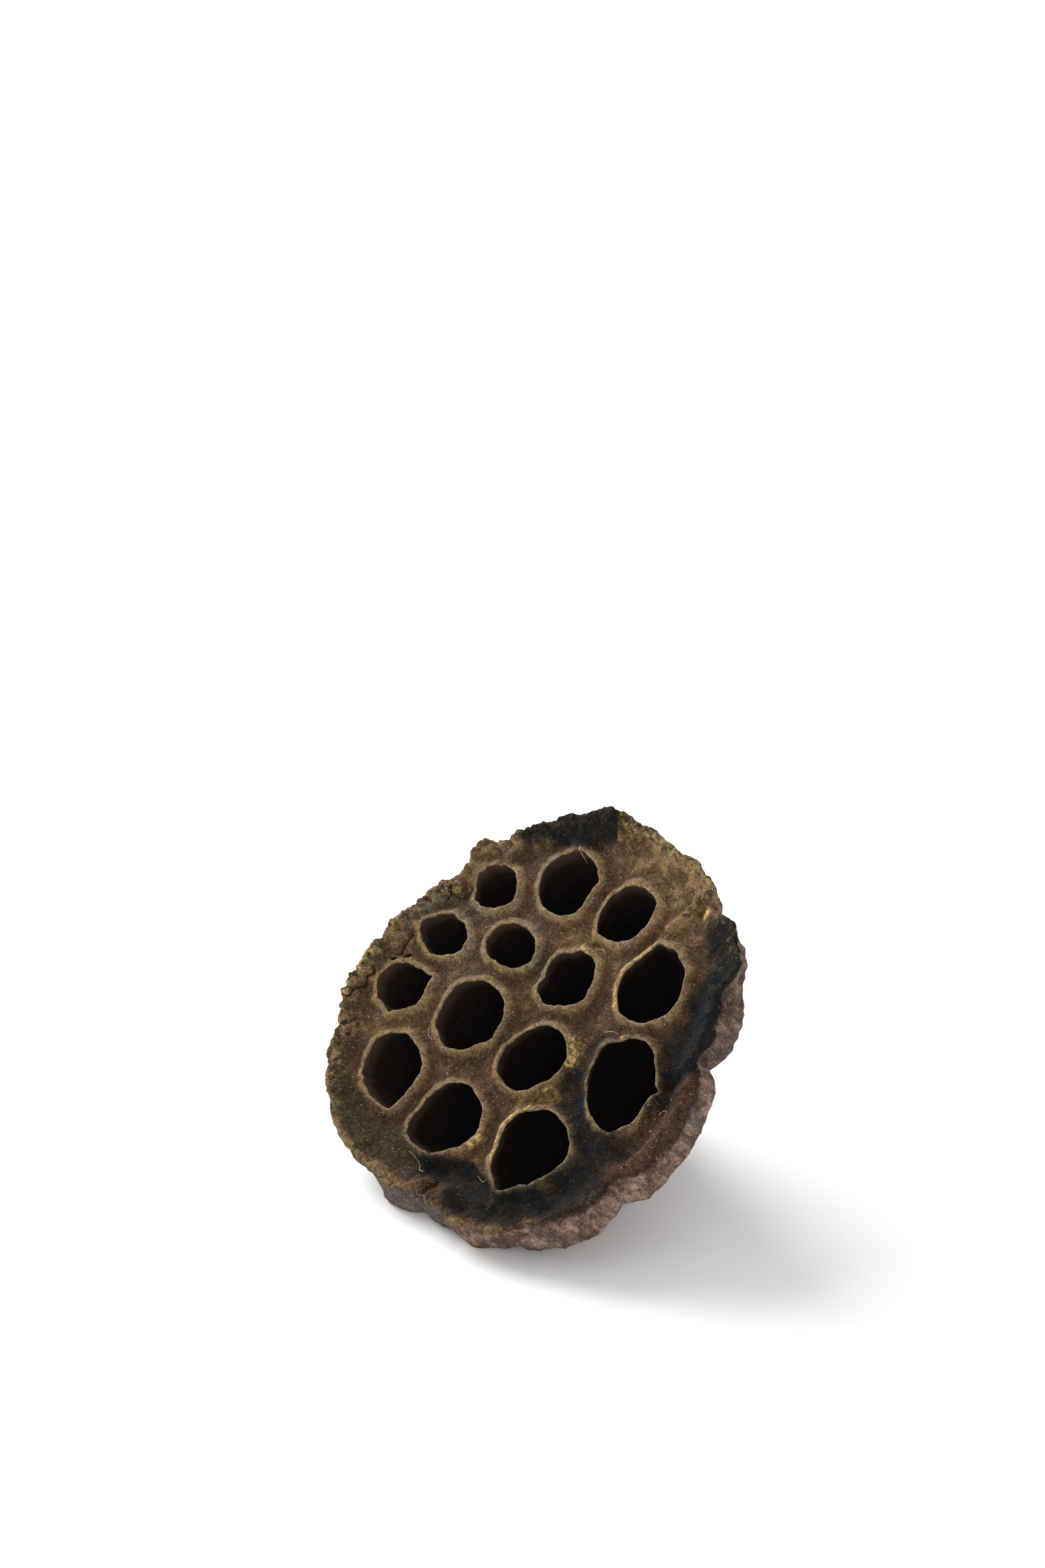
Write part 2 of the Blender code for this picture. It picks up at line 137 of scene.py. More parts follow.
SEATS = tuple(Seat(*(part * MM for part in row[:4]), *row[4:]) for row in (
    (-26, 21.5, 11.5, 9.5, 175, 4, 0.03, 85, ((15, -0.5, 14), (230, 0.5, 12))),
    (-10.5, 28, 14, 13.5, 120, 3, 0.035, 60,
     ((25, 0.7, 12), (100, 0.4, 14), (205, -0.4, 18), (315, 0.5, 14))),
    (6.5, 27, 13.5, 11, 65, 4, 0.035, 45, ((70, -0.4, 18), (162, 0.4, 10))),
    (-31.5, 8, 11.5, 9, 0, 4, 0.045, 85, ((75, -0.5, 18), (178, 0.6, 18))),
    (-15, 11.5, 12.5, 9, 178, 3, 0.01, 0, ((80, 0.2, 25), (250, -0.3, 22))),
    (2, 10, 13, 11.5, 65, 4, 0.065, 60,
     ((50, -0.5, 24), (100, 0.4, 10), (215, 0.6, 12))),
    (21, 15.5, 16.5, 14, 85, 3, 0.04, 98,
     ((68, -0.5, 14), (114, 1, 9), (185, 0.5, 20), (320, -0.3, 25))),
    (-34.5, -5.5, 12.5, 10.5, 10, 3, 0.04, 30,
     ((20, -0.4, 12), (39, 1.1, 6), (75, -0.3, 15), (245, -0.4, 14), (275, 0.45, 8), (335, 0.4, 14))),
    (-15.5, -5, 16, 15, 35, 3, 0.02, 12,
     ((40, 0.5, 14), (182, -0.5, 16), (232, -0.4, 14), (342, 0.6, 10))),
    (4, -7.5, 15.5, 13, 50, 3, 0.01, 97, ((170, -0.4, 9), (10, 0.3, 20))),
    (26, -4.5, 19, 15, 110, 3, 0.03, 45,
     ((11, 0.9, 6), (46, -0.7, 20), (97, 0.4, 14), (125, -0.4, 10), (147, 0.6, 12), (225, 0.4, 14),
      (288, 0.5, 12), (340, -0.5, 18))),
    (-26, -21.5, 16, 13.5, 130, 4, 0.035, 30,
     ((118, -0.5, 16), (155, 0.6, 11), (222, -0.5, 6), (300, 0.6, 13), (338, -0.4, 16))),
    (-7.5, -26, 17, 14.5, 45, 3, 0.045, 110,
     ((35, 0.4, 12), (187, -0.4, 14), (222, 0.4, 6), (248, -0.5, 14), (320, -0.2, 10), (331, 0.3, 6))),
    (14.5, -24, 17.5, 15.5, 60, 3, 0.065, 15,
     ((84, 0.5, 12), (117, -0.3, 12), (165, 0.4, 16), (261, 1, 8), (287, -0.6, 12))),
))
CREASES = tuple(Crease(turn, depth * MM, width) for turn, depth, width in (
    (10, 2.2, 3), (57, 0.9, 3.5), (151, 1.4, 4), (203, 0.8, 3.5), (264, 1.2, 3.5), (327, 0.9, 4),
))

# Layers of lumps in the crust: height, size in millimetres, seed. The depths in CRUST multiply them.
RIM_LUMPS = ((0.75, 2.6, 3.0), (0.45, 1.2, 8.0))
BORDER_LUMPS = ((0.85, 2.6, 23.0), (0.45, 1.3, 27.0))
WALL_LUMPS = ((0.75, 2.5, 37.0), (0.4, 1.2, 39.0))
# The wall's pleats: height in millimetres, how far they are stretched down it, size in millimetres, seed.
WALL_PLEATS = ((0.42, 0.2, 3.8, 31.0), (0.2, 0.3, 1.9, 33.0))
# Layers of plain noise in a chamber's wall: height, size in millimetres, seed.
CHAMBER_NOISE = ((0.14, 2.4, 21.0), (0.06, 0.9, 25.0))
# The small waves of a seat's edge: how many go round, and their height in millimetres.
SEAT_WAVES = ((9, 0.08), (16, 0.05), (29, 0.03), (47, 0.015))
# The wall's rings: the first one's depth in millimetres, the step, how many rings, and the points in each.
WALL_RINGS = ((3.2, 0.6, 10, 800), (9.2, 0.8, 9, 600), (16.4, 0.95, 12, 400), (27.8, 1.2, 12, 240))
RIM_ROLL_RINGS = (0.35, 0.8, 1.3, 1.9, 2.5)
# The stub's rings: how far below the neck, and how far in from its cut edge, in millimetres.
STUB_RINGS = (2.0, 3.0, 4.0, 5.0, 5.8)
CUT_RINGS = (0.25, 0.5, 0.75)
# The rings of places round a pit, as shares of its size, and how many places each has.
PIT_RINGS = ((0.3, 6), (0.65, 12), (0.85, 18), (1.0, 22), (1.15, 22), (1.4, 20))
# How far to each side of a crack the sheet gets closer places, in millimetres.
CRACK_ROWS = (-0.5, -0.22, 0, 0.22, 0.5)
# A chamber's rings, as shares of its depth, and its width at some of them, as a share of its mouth's.
CHAMBER_RINGS = (
    0.012, 0.03, 0.06, 0.1, 0.15, 0.21, 0.28, 0.36, 0.44, 0.52, 0.6, 0.68, 0.76, 0.84, 0.91, 0.96,
)
CHAMBER_STOPS = (0.0, 0.02, 0.07, 0.26, 0.54, 0.78, 0.94, 1.0)
CHAMBER_WIDTHS = (1.0, 0.995, 1.03, 1.07, 0.98, 0.76, 0.42, 0.0)


@dataclass(frozen=True)
class Fold:
    """A raised fold of the skin, or a groove where its height is below 0, in millimetres: how far it reaches
    to each side of the line that it runs along."""

    reach: float
    height: float
    places: Places


FOLDS = tuple(Fold(*row) for row in (
    (0.7, 0.8, ((24.6, 37.8), (21.4, 36.5), (19.5, 35), (18.2, 32.5), (16.6, 27.8))),
    (0.9, -0.9, ((27, 35.4), (22.6, 34.9), (20.8, 33.2))),
    (0.6, 0.7, ((-4.8, 46.2), (-5.1, 43.8), (-4.7, 40.5))),
    (1.4, -0.5, ((-6.8, 45.5), (-7, 41))),
    (1.5, -0.7, ((-23.4, 30.4), (-25, 33.8))),
    (1.3, -0.5, ((-31, 26.5), (-33.5, 28.5))),
    (1.2, 0.4, ((3, 37.5), (7, 40.5), (9.5, 38))),
    (1.1, -1, ((42.5, 4.6), (39.6, 4), (36.8, 1.9), (34.8, -3))),
    (1.3, 0.9, ((41.2, 13), (40.2, 8.8), (37.4, 4.8))),
    (1.1, 0.7, ((44.2, 0.8), (41.6, 1.2), (39.2, -2.6))),
    (1, 0.6, ((41, 17.4), (37.9, 18.9), (36.2, 19.4))),
    (0.9, -0.7, ((42.4, 19.6), (37.5, 20.8), (34.6, 21.4))),
    (1, 0.35, ((30.5, 24.6), (35.5, 23))),
    (1, 0.35, ((31, 16.4), (36.5, 14.6))),
    (1, 0.3, ((30.8, 12), (36, 9))),
    (1.5, -0.6, ((37, -3.5), (37.8, -9), (36, -15), (31.5, -21))),
    (1.3, 0.5, ((40.6, -6), (40.2, -12), (36.8, -18.5))),
    (1.5, -1, ((-9.4, -36.6), (-4.6, -34.8), (1.5, -33.6), (8, -34.6))),
    (1.3, -0.8, ((4.5, -41.4), (12, -39.6), (20, -37), (27, -31.5))),
    (1.2, 0.5, ((2, -38.6), (10, -37.4), (18, -34.8), (25, -29.6))),
    (1.2, 0.6, ((6, -44), (14, -42.4), (22, -39.8), (29, -34.5))),
    (0.8, -1.2, ((-3.8, -44.2), (-2.6, -41.2), (-2.4, -38.8))),
    (2.2, 1.3, ((0.6, -40.4), (2.2, -38.8))),
    (1.3, 0.9, ((-7, -43.2), (-5.3, -40.4), (-4.2, -38.6))),
    (1.6, 0.7, ((-16, -40.8), (-11.5, -40.2), (-8.8, -38.4))),
    (0.8, 0.5, ((-43.4, -4), (-43.9, -8), (-45.2, -11.6))),
    (0.6, 0.3, ((-38.9, 5.4), (-39.2, 1.8))),
    (1, 0.5, ((-42.6, 8.6), (-40.4, 9.8), (-37.6, 13.4))),
    (1.8, 0.5, ((-13.5, 36.8), (-18.5, 35.6), (-22, 33))),
))
CRACKS = (
    ((-39.7, 5.4), (-39.9, 3.4), (-40.3, 2.4), (-40.2, 1), (-40.6, 0.2)),
    ((-46.6, 7.2), (-45, 6.4), (-43.8, 6.3)),
    ((-42.8, -4.6), (-42.2, -5.6), (-42.9, -6.9), (-43.2, -9), (-44.3, -10.6), (-44.1, -11.8),
     (-46.4, -13.4)),
    ((-43.9, 13), (-43.1, 11.8), (-43.2, 10.4)),
    ((-36.9, 18), (-36, 16.6), (-36.3, 15.2)),
)


@dataclass(frozen=True)
class Pit:
    """A small hole broken through the skin, in millimetres: its middle, length, width and depth, and its
    turn in degrees."""

    x: float
    y: float
    length: float
    width: float
    depth: float
    turn: float


PITS = tuple(Pit(*row) for row in (
    (-40.4, -0.9, 1.8, 1.1, 1.2, 15),
    (-38.1, 0.9, 2.2, 1.3, 1.6, 20),
    (-1.9, -39.8, 1, 0.8, 1, 70),
))


class Tint(Enum):
    """What a painted mask puts on the skin."""

    STAIN = "stain"
    GOLD = "gold"
    CRUST = "crust"
    GREY = "grey"
    OLIVE = "olive"
    MOTTLE = "mottle"
    RUSSET = "russet"
    DEEP = "deep"
    LIGHT = "light"
    MAUVE = "mauve"
    DUST = "dust"


@dataclass(frozen=True)
class Stroke:
    """A soft stroke of one tint over the skin, in millimetres: how far it reaches to each side of the line
    that it runs along on the face, and how strong it is."""

    tint: Tint
    reach: float
    places: Places
    strength: float = 1.0


STROKES = tuple(Stroke(tint, *row) for tint, rows in {
    Tint.STAIN: (
        (8, ((-25.5, 38), (-18, 42.5), (-10, 44.5))),
        (6.5, ((-22, 36.5), (-12, 39.5), (-9, 43)), 0.85),
        (3.2, ((-6.6, 46.5), (-7.6, 42))),
        (9.5, ((31.5, 30.5), (37.5, 25.5), (40, 19.5))),
        (9, ((34.5, 21), (36.5, 13), (35, 5))),
        (6, ((33, 5), (24, 3.6), (17, 0), (15.8, -7)), 0.55),
        (6.5, ((37.5, 10), (37, 2), (36, -3)), 0.75),
        (5.5, ((16, -8), (18, -14), (25, -18)), 0.8),
        (9.5, ((28, -18.5), (29.5, -25), (25, -33), (14, -37.5), (5, -38)), 0.8),
        (4.5, ((-7, -36.2), (1, -34.5), (8, -35)), 0.85),
    ),
    Tint.CRUST: (
        (3.6, ((-35.7, 18), (-41, 13.8), (-44.5, 9.4), (-46.5, 0.5), (-47, -8), (-46.5, -14))),
        (2.6, ((-46.5, -14), (-45, -20), (-42, -27), (-38, -32)), 0.9),
        (3, ((-40, -25), (-38, -29.5), (-33.5, -33.5)), 0.7),
        (2.8, ((-3, 45), (4, 43.8), (9.5, 43.6), (18.6, 41.2), (22.1, 39.8), (24.8, 37.4))),
        (1.5, ((24.1, 37), (21.2, 36.4), (19.2, 34.6), (17.6, 31.6)), 0.85),
        (2, ((-27, -38.6), (-19.6, -42), (-5.7, -44.4)), 0.5),
        (2, ((5, -44.6), (12, -43.4), (19, -41), (25, -37)), 0.45),
        (2.2, ((24.4, 41), (15, 41.5)), 0.6),
        (1.6, ((26.5, 34), (31, 32), (36, 27)), 0.35),
    ),
    Tint.GOLD: (
        (1.8, ((22.8, 34), (23.4, 33.4)), 0.9),
        (2.6, ((6, -16.6), (8.4, -16), (11, -14.4), (12.2, -12))),
        (1.5, ((10.2, -0.5), (11.6, -2), (12.6, -5)), 0.9),
        (1.6, ((8.9, -16.2), (6.4, -18.4), (5.4, -23), (6, -29)), 0.95),
        (1.5, ((15.6, 23), (13.6, 19.6), (12.8, 15.6), (13.6, 11.6), (15.4, 9)), 0.9),
        (1.3, ((19.4, 3.9), (20.8, 3.6)), 0.9),
        (1.8, ((2, -25.4), (1, -27.4)), 0.8),
        (1.4, ((-44.5, -1), (-45.8, -4), (-46.4, -12.5)), 0.7),
        (1.1, ((-3.5, 20.4), (-4, 19)), 0.7),
        (1, ((1, 16.6), (2.4, 16.4))),
    ),
    Tint.GREY: (
        (6, ((-34, 15.5), (-25, 14), (-22.5, 5), (-25.5, 0)), 0.85),
        (5, ((-19, 20), (-12, 17.5), (-6, 9)), 0.7),
        (5, ((-18, 30), (-20, 25), (-30, 27)), 0.6),
        (4, ((-42, 8), (-38, 14)), 0.7),
    ),
    Tint.MOTTLE: (
        (4.4, ((-41.5, -16), (-41, -22), (-36.5, -28), (-30, -32)), 0.5),
    ),
    Tint.OLIVE: (
        (4.6, ((-36, -28), (-27.3, -34), (-20.5, -36.4), (-13, -38)), 0.8),
    ),
    Tint.RUSSET: (
        (3.4, ((20, 29.6), (24.5, 28.5), (27, 31)), 0.75),
        (5, ((36, -3), (38.5, -9), (37.5, -15), (33, -22)), 0.65),
        (5.5, ((-4, -37), (2, -31.5), (4, -29)), 0.45),
        (2.6, ((39.8, 2.8), (40.8, -0.8)), 0.8),
        (4, ((-43.5, -15), (-40, -13.5), (-37, -12.5)), 0.5),
    ),
    Tint.DEEP: (
        (10.5, ((38.5, 0), (40, -6), (39, -13), (34, -21), (30, -29))),
        (7, ((46, 9), (47, 0), (46.5, -8), (44.5, -16), (39.5, -25), (33, -34))),
        (5, ((-16, -15), (-6, -16), (0, -18)), 0.45),
        (6, ((9, -18.5), (13, -10), (15, -2), (11, 3)), 0.5),
        (7, ((-30, -32), (-18, -34.5), (-6, -38), (4, -39)), 0.75),
        (4, ((-33, 28), (-36, 22), (-38, 16)), 0.4),
        (3, ((-27.5, 26.8), (-23, 30), (-25, 33)), 0.6),
        (4, ((2, 40), (7, 41)), 0.35),
    ),
    Tint.LIGHT: (
        (8.5, ((6, 38), (13, 38), (20, 33), (14, 30))),
        (6, ((-37, -14), (-27, -11), (-24.5, -2), (-25.5, 3), (-23, 14)), 0.75),
        (6, ((-30, 30), (-33, 24), (-20, 24), (-17.5, 19), (-5, 19.5), (8, 18)), 0.6),
    ),
    Tint.MAUVE: (
        (9, ((2, -45), (-12, -44), (-28, -38)), 1),
        (6, ((42, 9), (46, 14)), 0.5),
    ),
    Tint.DUST: (
        (6, ((14, 32), (19, 26.5), (14, 20)), 0.8),
        (6, ((4, 40), (18, 39), (23, 35)), 0.6),
        (5, ((-4, 20), (-12, 21), (-6, 14)), 0.6),
        (5, ((-24, 8), (-22, 2), (-9, 3)), 0.6),
        (5, ((10, -16), (4, -22), (2, -27)), 0.6),
        (5, ((-44, 8), (-45, -8), (-43, -20), (-36, -31)), 0.4),
        (6, ((-27, -34), (-12, -36), (-9, -33)), 0.5),
    ),
}.items() for row in rows)


def smooth_step(value: np.ndarray) -> np.ndarray:
    """An ease from 0 to 1 as the value goes from 0 to 1."""
    value = np.clip(value, 0.0, 1.0)
    return value * value * (3 - 2 * value)


def bump(value: np.ndarray, middle: float, width: float) -> np.ndarray:
    """A soft hill, 1 at the middle."""
    return np.exp(-(((value - middle) / width) ** 2))


def cloud(points: np.ndarray, size: float, seed: float = 0.0) -> np.ndarray:
    """Smooth noise from about -1 to 1.

    Args:
        points: places as rows of x, y and z.
        size: the noise's grain, in metres.
        seed: moves the noise, so that two of them differ.

    Returns:
        One value for each place.
    """
    moved = points / size + np.array((seed, -1.7 * seed, 0.6 * seed))
    return np.array([noise.noise(place) for place in moved])


def lumps(points: np.ndarray, size: float, seed: float) -> np.ndarray:
    """Noise like a crowd of round lumps with sharp gaps between them, about 0 in the mean."""
    return FOLDED_GAIN * np.abs(cloud(points, size, seed)) - FOLDED_MEAN


def creases(points: np.ndarray, size: float, seed: float) -> np.ndarray:
    """Noise like crossing sharp ridges, about 0 in the mean."""
    return FOLDED_MEAN - FOLDED_GAIN * np.abs(cloud(points, size, seed))


def round_the_pod(points: tuple, turn: np.ndarray) -> list[np.ndarray]:
    """The values at each turn in degrees, on a smooth curve through points that each have their own turn."""
    names = [name for name in points[0].__dataclass_fields__ if name != "turn"]
    starts = np.array([point.turn for point in points], float)
    turn = turn % 360
    after = np.searchsorted(starts, turn, side="right")
    before = (after - 1) % len(points)
    after = after % len(points)
    share = smooth_step(((turn - starts[before]) % 360) / ((starts[after] - starts[before]) % 360))
    found = []
    for name in names:
        values = np.array([getattr(point, name) for point in points])
        found.append(values[before] + (values[after] - values[before]) * share)
    return found


def turn_between(a: np.ndarray, b: float) -> np.ndarray:
    """The smallest turn from one direction to another, in degrees."""
    return np.abs((a - b + 180) % 360 - 180)


def inside_loop(places: np.ndarray, loop: np.ndarray) -> np.ndarray:
    """Which places lie inside a closed loop of others, each as rows of x and y."""
    x, y = places[:, 0, None], places[:, 1, None]
    (ax, ay), (bx, by) = loop.T, np.roll(loop, -1, axis=0).T
    rise = np.where(by == ay, 1.0, by - ay)
    crossed = ((ay > y) != (by > y)) & (x < ax + (y - ay) * (bx - ax) / rise)
    return crossed.sum(axis=1) % 2 == 1


def off_line(x: np.ndarray, y: np.ndarray, places: Places) -> np.ndarray:
    """How far places of the face, in metres, lie from a line through others, which are in millimetres."""
    points = np.array(places) * MM
    nearest = np.full(len(x), np.inf)
    for (ax, ay), (bx, by) in zip(points, points[1:]):
        along = np.array((bx - ax, by - ay))
        share = np.clip(((x - ax) * along[0] + (y - ay) * along[1]) / (along @ along), 0, 1)
        nearest = np.minimum(nearest, np.hypot(x - ax - share * along[0], y - ay - share * along[1]))
    return nearest


def evened(line: np.ndarray, times: int) -> np.ndarray:
    """A line's values, each drawn towards its neighbours a number of times, with both ends kept."""
    line = line.copy()
    for _ in range(times):
        line[1:-1] = (line[:-2] + 2 * line[1:-1] + line[2:]) / 4
    return line


def lumpy(points: np.ndarray, layers: tuple[tuple[float, float, float], ...]) -> np.ndarray:
    """The sum of layers of lumps, each a height, a size in millimetres and a seed."""
    return sum(height * lumps(points, size * MM, seed) for height, size, seed in layers)


def add_object(name: str, data: bpy.types.ID) -> bpy.types.Object:
    """Puts a mesh, a light or a camera into the scene as an object at the origin."""
    obj = bpy.data.objects.new(name, data)
    bpy.context.scene.collection.objects.link(obj)
    return obj


@dataclass
class PodForm:
    """The pod's main form, the same as the solid's, and the fine relief on it."""

    crinkle: float = 0.35 * MM
    crinkle_waves: tuple[int, int] = (23, 36)
    face_drop: float = 2.3 * MM
    rim_roll: float = 6.0 * MM
    lip_height: float = 1.35 * MM
    lip_reach: float = 1.4 * MM
    lip_crest: float = 0.55 * MM
    groove_depth: float = 0.3 * MM
    bead_height: float = 0.16 * MM
    sink: float = 0.8 * MM
    sink_reach: float = 2.5 * MM
    hummock: float = 0.7 * MM
    hummock_size: float = 7.0 * MM
    wrinkle: float = 0.27 * MM
    crack_depth: float = 0.8 * MM
    crack_width: float = 0.2 * MM
    shoulder_depth: float = 7.5 * MM
    crease_reach: float = 16.0 * MM
    ribs: int = 24
    rib_height: float = 0.45 * MM
    wall_buckle: float = 0.6 * MM
    wall_buckle_size: float = 11.0 * MM
    neck_radius: float = 5.2 * MM
    neck_depth: float = 42.0 * MM
    stub_radius: float = 4.6 * MM
    stub_end: float = 48.5 * MM
    seat_lean: float = 70.0 * MM
    seat_depth: float = 8.5 * MM
    girth: float = 45.0 * MM
    belly: float = 1.5 * MM
    flare: float = 1.2 * MM
    pith_sink: float = 1.2 * MM
    dark_least: float = 0.3 * MM
    dark_most: float = 2.3 * MM
    dark_turn: float = 355.0
    dark_width: float = 38.0

    def around(self, turn: np.ndarray, depth: np.ndarray | float = 0.0) -> np.ndarray:
        """Places on a plain cylinder about the growth axis, which the wall's noise is read at."""
        angle = np.radians(turn)
        return np.column_stack((self.girth * np.cos(angle), self.girth * np.sin(angle), 0 * angle - depth))

    def nicked(self, turn: np.ndarray) -> np.ndarray:
        """How far the crust's lumps and gaps move the rim's edge out or in."""
        return round_the_pod(CRUST, turn)[0] * (lumpy(self.around(turn), RIM_LUMPS) - 0.1)

    def face_reach(self, turn: np.ndarray) -> np.ndarray:
        """How far below the rim the face's dark colours reach at each turn in degrees."""
        near = bump(turn_between(turn, self.dark_turn), 0.0, self.dark_width)
        return self.dark_least + self.dark_most * near

    @staticmethod
    def crusted(turn: np.ndarray) -> np.ndarray:
        """How much of the rim's crust shows at each turn in degrees, from 0 to 1."""
        return np.minimum(round_the_pod(CRUST, turn)[0] / (0.85 * MM), 1.0) ** 2

    def rim(self, turn: np.ndarray) -> tuple[np.ndarray, np.ndarray]:
        """The rim crest's radius and height at each turn in degrees, without its crust."""
        radius, height = round_the_pod(RIM, turn)
        angle = np.radians(turn)
        first, second = self.crinkle_waves
        crinkle = np.sin(first * angle + 1.3) * np.sin(3 * angle + 0.4)
        crinkle += 0.8 * np.sin(second * angle + 2.1) * np.sin(5 * angle + 1.9)
        return radius + self.crinkle * crinkle, height + 0.8 * self.crinkle * np.cos(first * angle)

    def seat_radius(self, seat: Seat, angle: np.ndarray) -> np.ndarray:
        """The distance from a seat's middle to its edge, in the direction of each angle in radians."""
        oval = (seat.length - seat.width) / 4
        radius = seat.middle_radius + oval * np.cos(2 * (angle - math.radians(seat.turn)))
        corner = np.cos(seat.corners * (angle - math.radians(seat.corner_turn)))
        radius = radius + seat.middle_radius * seat.share * corner
        for turn, out, width in seat.nicks:
            radius += out * MM * bump(turn_between(np.degrees(angle), turn), 0.0, width)
        for waves, height in SEAT_WAVES:
            radius += height * MM * np.sin(waves * angle + waves * seat.x / MM)
        return radius

    def beyond_seat(self, seat: Seat, x: np.ndarray, y: np.ndarray) -> np.ndarray:
        """How far places of the face lie outside a seat's edge, less than 0 inside it."""
        across, along = x - seat.x, y - seat.y
        return np.hypot(across, along) - self.seat_radius(seat, np.arctan2(along, across))

    def beyond_seats(self, x: np.ndarray, y: np.ndarray) -> np.ndarray:
        """How far places of the face lie outside the nearest seat's edge."""
        return np.min([self.beyond_seat(seat, x, y) for seat in SEATS], axis=0)

    def inside_rim(self, x: np.ndarray, y: np.ndarray) -> np.ndarray:
        """How far places of the face lie inside the rim's crest."""
        return self.rim(np.degrees(np.arctan2(y, x)))[0] - np.hypot(x, y)

    def face_height(self, x: np.ndarray, y: np.ndarray) -> np.ndarray:
        """The face's relief: the rolled rim, the lips, hummocks, folds, wrinkles, crust, cracks and pits."""
        places = np.column_stack((x, y, 0 * x))
        turn = np.degrees(np.arctan2(y, x))
        from_rim = self.inside_rim(x, y)
        from_seat = np.maximum(self.beyond_seats(x, y), 0.0)
        roll = smooth_step(from_rim / self.rim_roll)
        fade = 1 - smooth_step(from_rim / (2 * self.rim_roll))
        height = self.rim(turn)[1] * fade - self.face_drop * roll
        height += (self.lips(places, from_seat) + self.hummock * cloud(places, self.hummock_size)) * roll
        for fold in FOLDS:
            height += fold.height * MM * bump(off_line(x, y, fold.places), 0.0, fold.reach * MM)
        height += self.wrinkles(places, from_rim, from_seat) + self.border(places, turn, from_rim)
        return height - self.broken(x, y)[0]

    def lips(self, places: np.ndarray, from_seat: np.ndarray) -> np.ndarray:
        """The seats' raised lips and the sinks between them."""
        uneven = 0.95 + 0.5 * cloud(places, 5.0 * MM, 61.0)
        outside = np.maximum(from_seat - self.lip_crest, 0.0)
        inside = np.maximum(self.lip_crest - from_seat, 0.0)
        dip = 0.25 * (inside / self.lip_crest) ** 2
        lip = self.lip_height * uneven * (bump(outside, 0.0, self.lip_reach) - dip)
        lip += self.bead_height * (1 + cloud(places, 1.4 * MM, 63.0)) * bump(from_seat, 0.2 * MM, 0.3 * MM)
        groove = bump(from_seat, 2.7 * MM, 0.8 * MM) * (0.7 + cloud(places, 3.0 * MM, 65.0))
        return lip - self.sink * (1 - np.exp(-from_seat / self.sink_reach)) - self.groove_depth * groove

    def wrinkles(self, places: np.ndarray, from_rim: np.ndarray, from_seat: np.ndarray) -> np.ndarray:
        """Leathery wrinkles between the lips, and the grain on them."""
        away = smooth_step((from_seat - 0.3 * MM) / (2.0 * MM)) * smooth_step(from_rim / (2.0 * MM))
        height = self.wrinkle * away * creases(places, 3.6 * MM, 11.0)
        height += 0.7 * self.wrinkle * (0.35 + 0.65 * away) * creases(places, 1.7 * MM, 15.0)
        height += 0.35 * self.wrinkle * cloud(places, 0.9 * MM, 17.0)
        return height + 0.5 * self.wrinkle * np.exp(-from_seat / (0.8 * MM)) * cloud(places, 1.1 * MM, 19.0)

    def border(self, places: np.ndarray, turn: np.ndarray, from_rim: np.ndarray) -> np.ndarray:
        """The lumps of the crust along the rim."""
        return bump(from_rim, 0.0, 4.2 * MM) * round_the_pod(CRUST, turn)[0] * lumpy(places, BORDER_LUMPS)

    def broken(self, x: np.ndarray, y: np.ndarray) -> tuple[np.ndarray, np.ndarray]:
        """The cracks and pits in the skin.

        Returns:
            How deep they are at each place, and how dark, from 0 to 1.
        """
        depth, dark = np.zeros(len(x)), np.zeros(len(x))
        for places in CRACKS:
            gap = bump(off_line(x, y, places), 0.0, self.crack_width)
            depth = np.maximum(depth, self.crack_depth * gap)
            dark = np.maximum(dark, gap)
        for pit in PITS:
            inside = 1 - smooth_step((self.from_pit(pit, x, y) - 0.6) / 0.5)
            depth = np.maximum(depth, pit.depth * MM * inside)
            dark = np.maximum(dark, inside)
        return depth, dark

    @staticmethod
    def from_pit(pit: Pit, x: np.ndarray, y: np.ndarray) -> np.ndarray:
        """How far places lie from a pit's middle, where 1 is at its edge."""
        turn = math.radians(pit.turn)
        across, along = x / MM - pit.x, y / MM - pit.y
        far = across * math.cos(turn) + along * math.sin(turn)
        aside = along * math.cos(turn) - across * math.sin(turn)
        return 2 * np.hypot(far / pit.length, aside / pit.width)

    def wall_relief(self, turn: np.ndarray, depth: np.ndarray) -> np.ndarray:
        """How far ribs, buckles and creases move the outer wall out or in."""
        angle = np.radians(turn)
        ribs = self.rib_height * (1 - np.abs(np.sin(self.ribs * (angle + 0.04 * np.sin(3 * angle)) / 2)) * 2)
        girth = SHOULDER[0].radius
        place = np.column_stack((girth * np.cos(angle), girth * np.sin(angle), -depth))
        buckle = self.wall_buckle * cloud(place, self.wall_buckle_size)
        taper = smooth_step((self.neck_depth - depth) / (self.neck_depth - self.shoulder_depth))
        relief = (ribs + buckle) * (0.35 + 0.65 * taper)
        for crease in CREASES:
            across = bump(turn_between(turn, crease.turn), 0.0, crease.width)
            fade = 1 - smooth_step((depth - self.shoulder_depth) / self.crease_reach)
            relief -= crease.depth * across * fade
        return relief

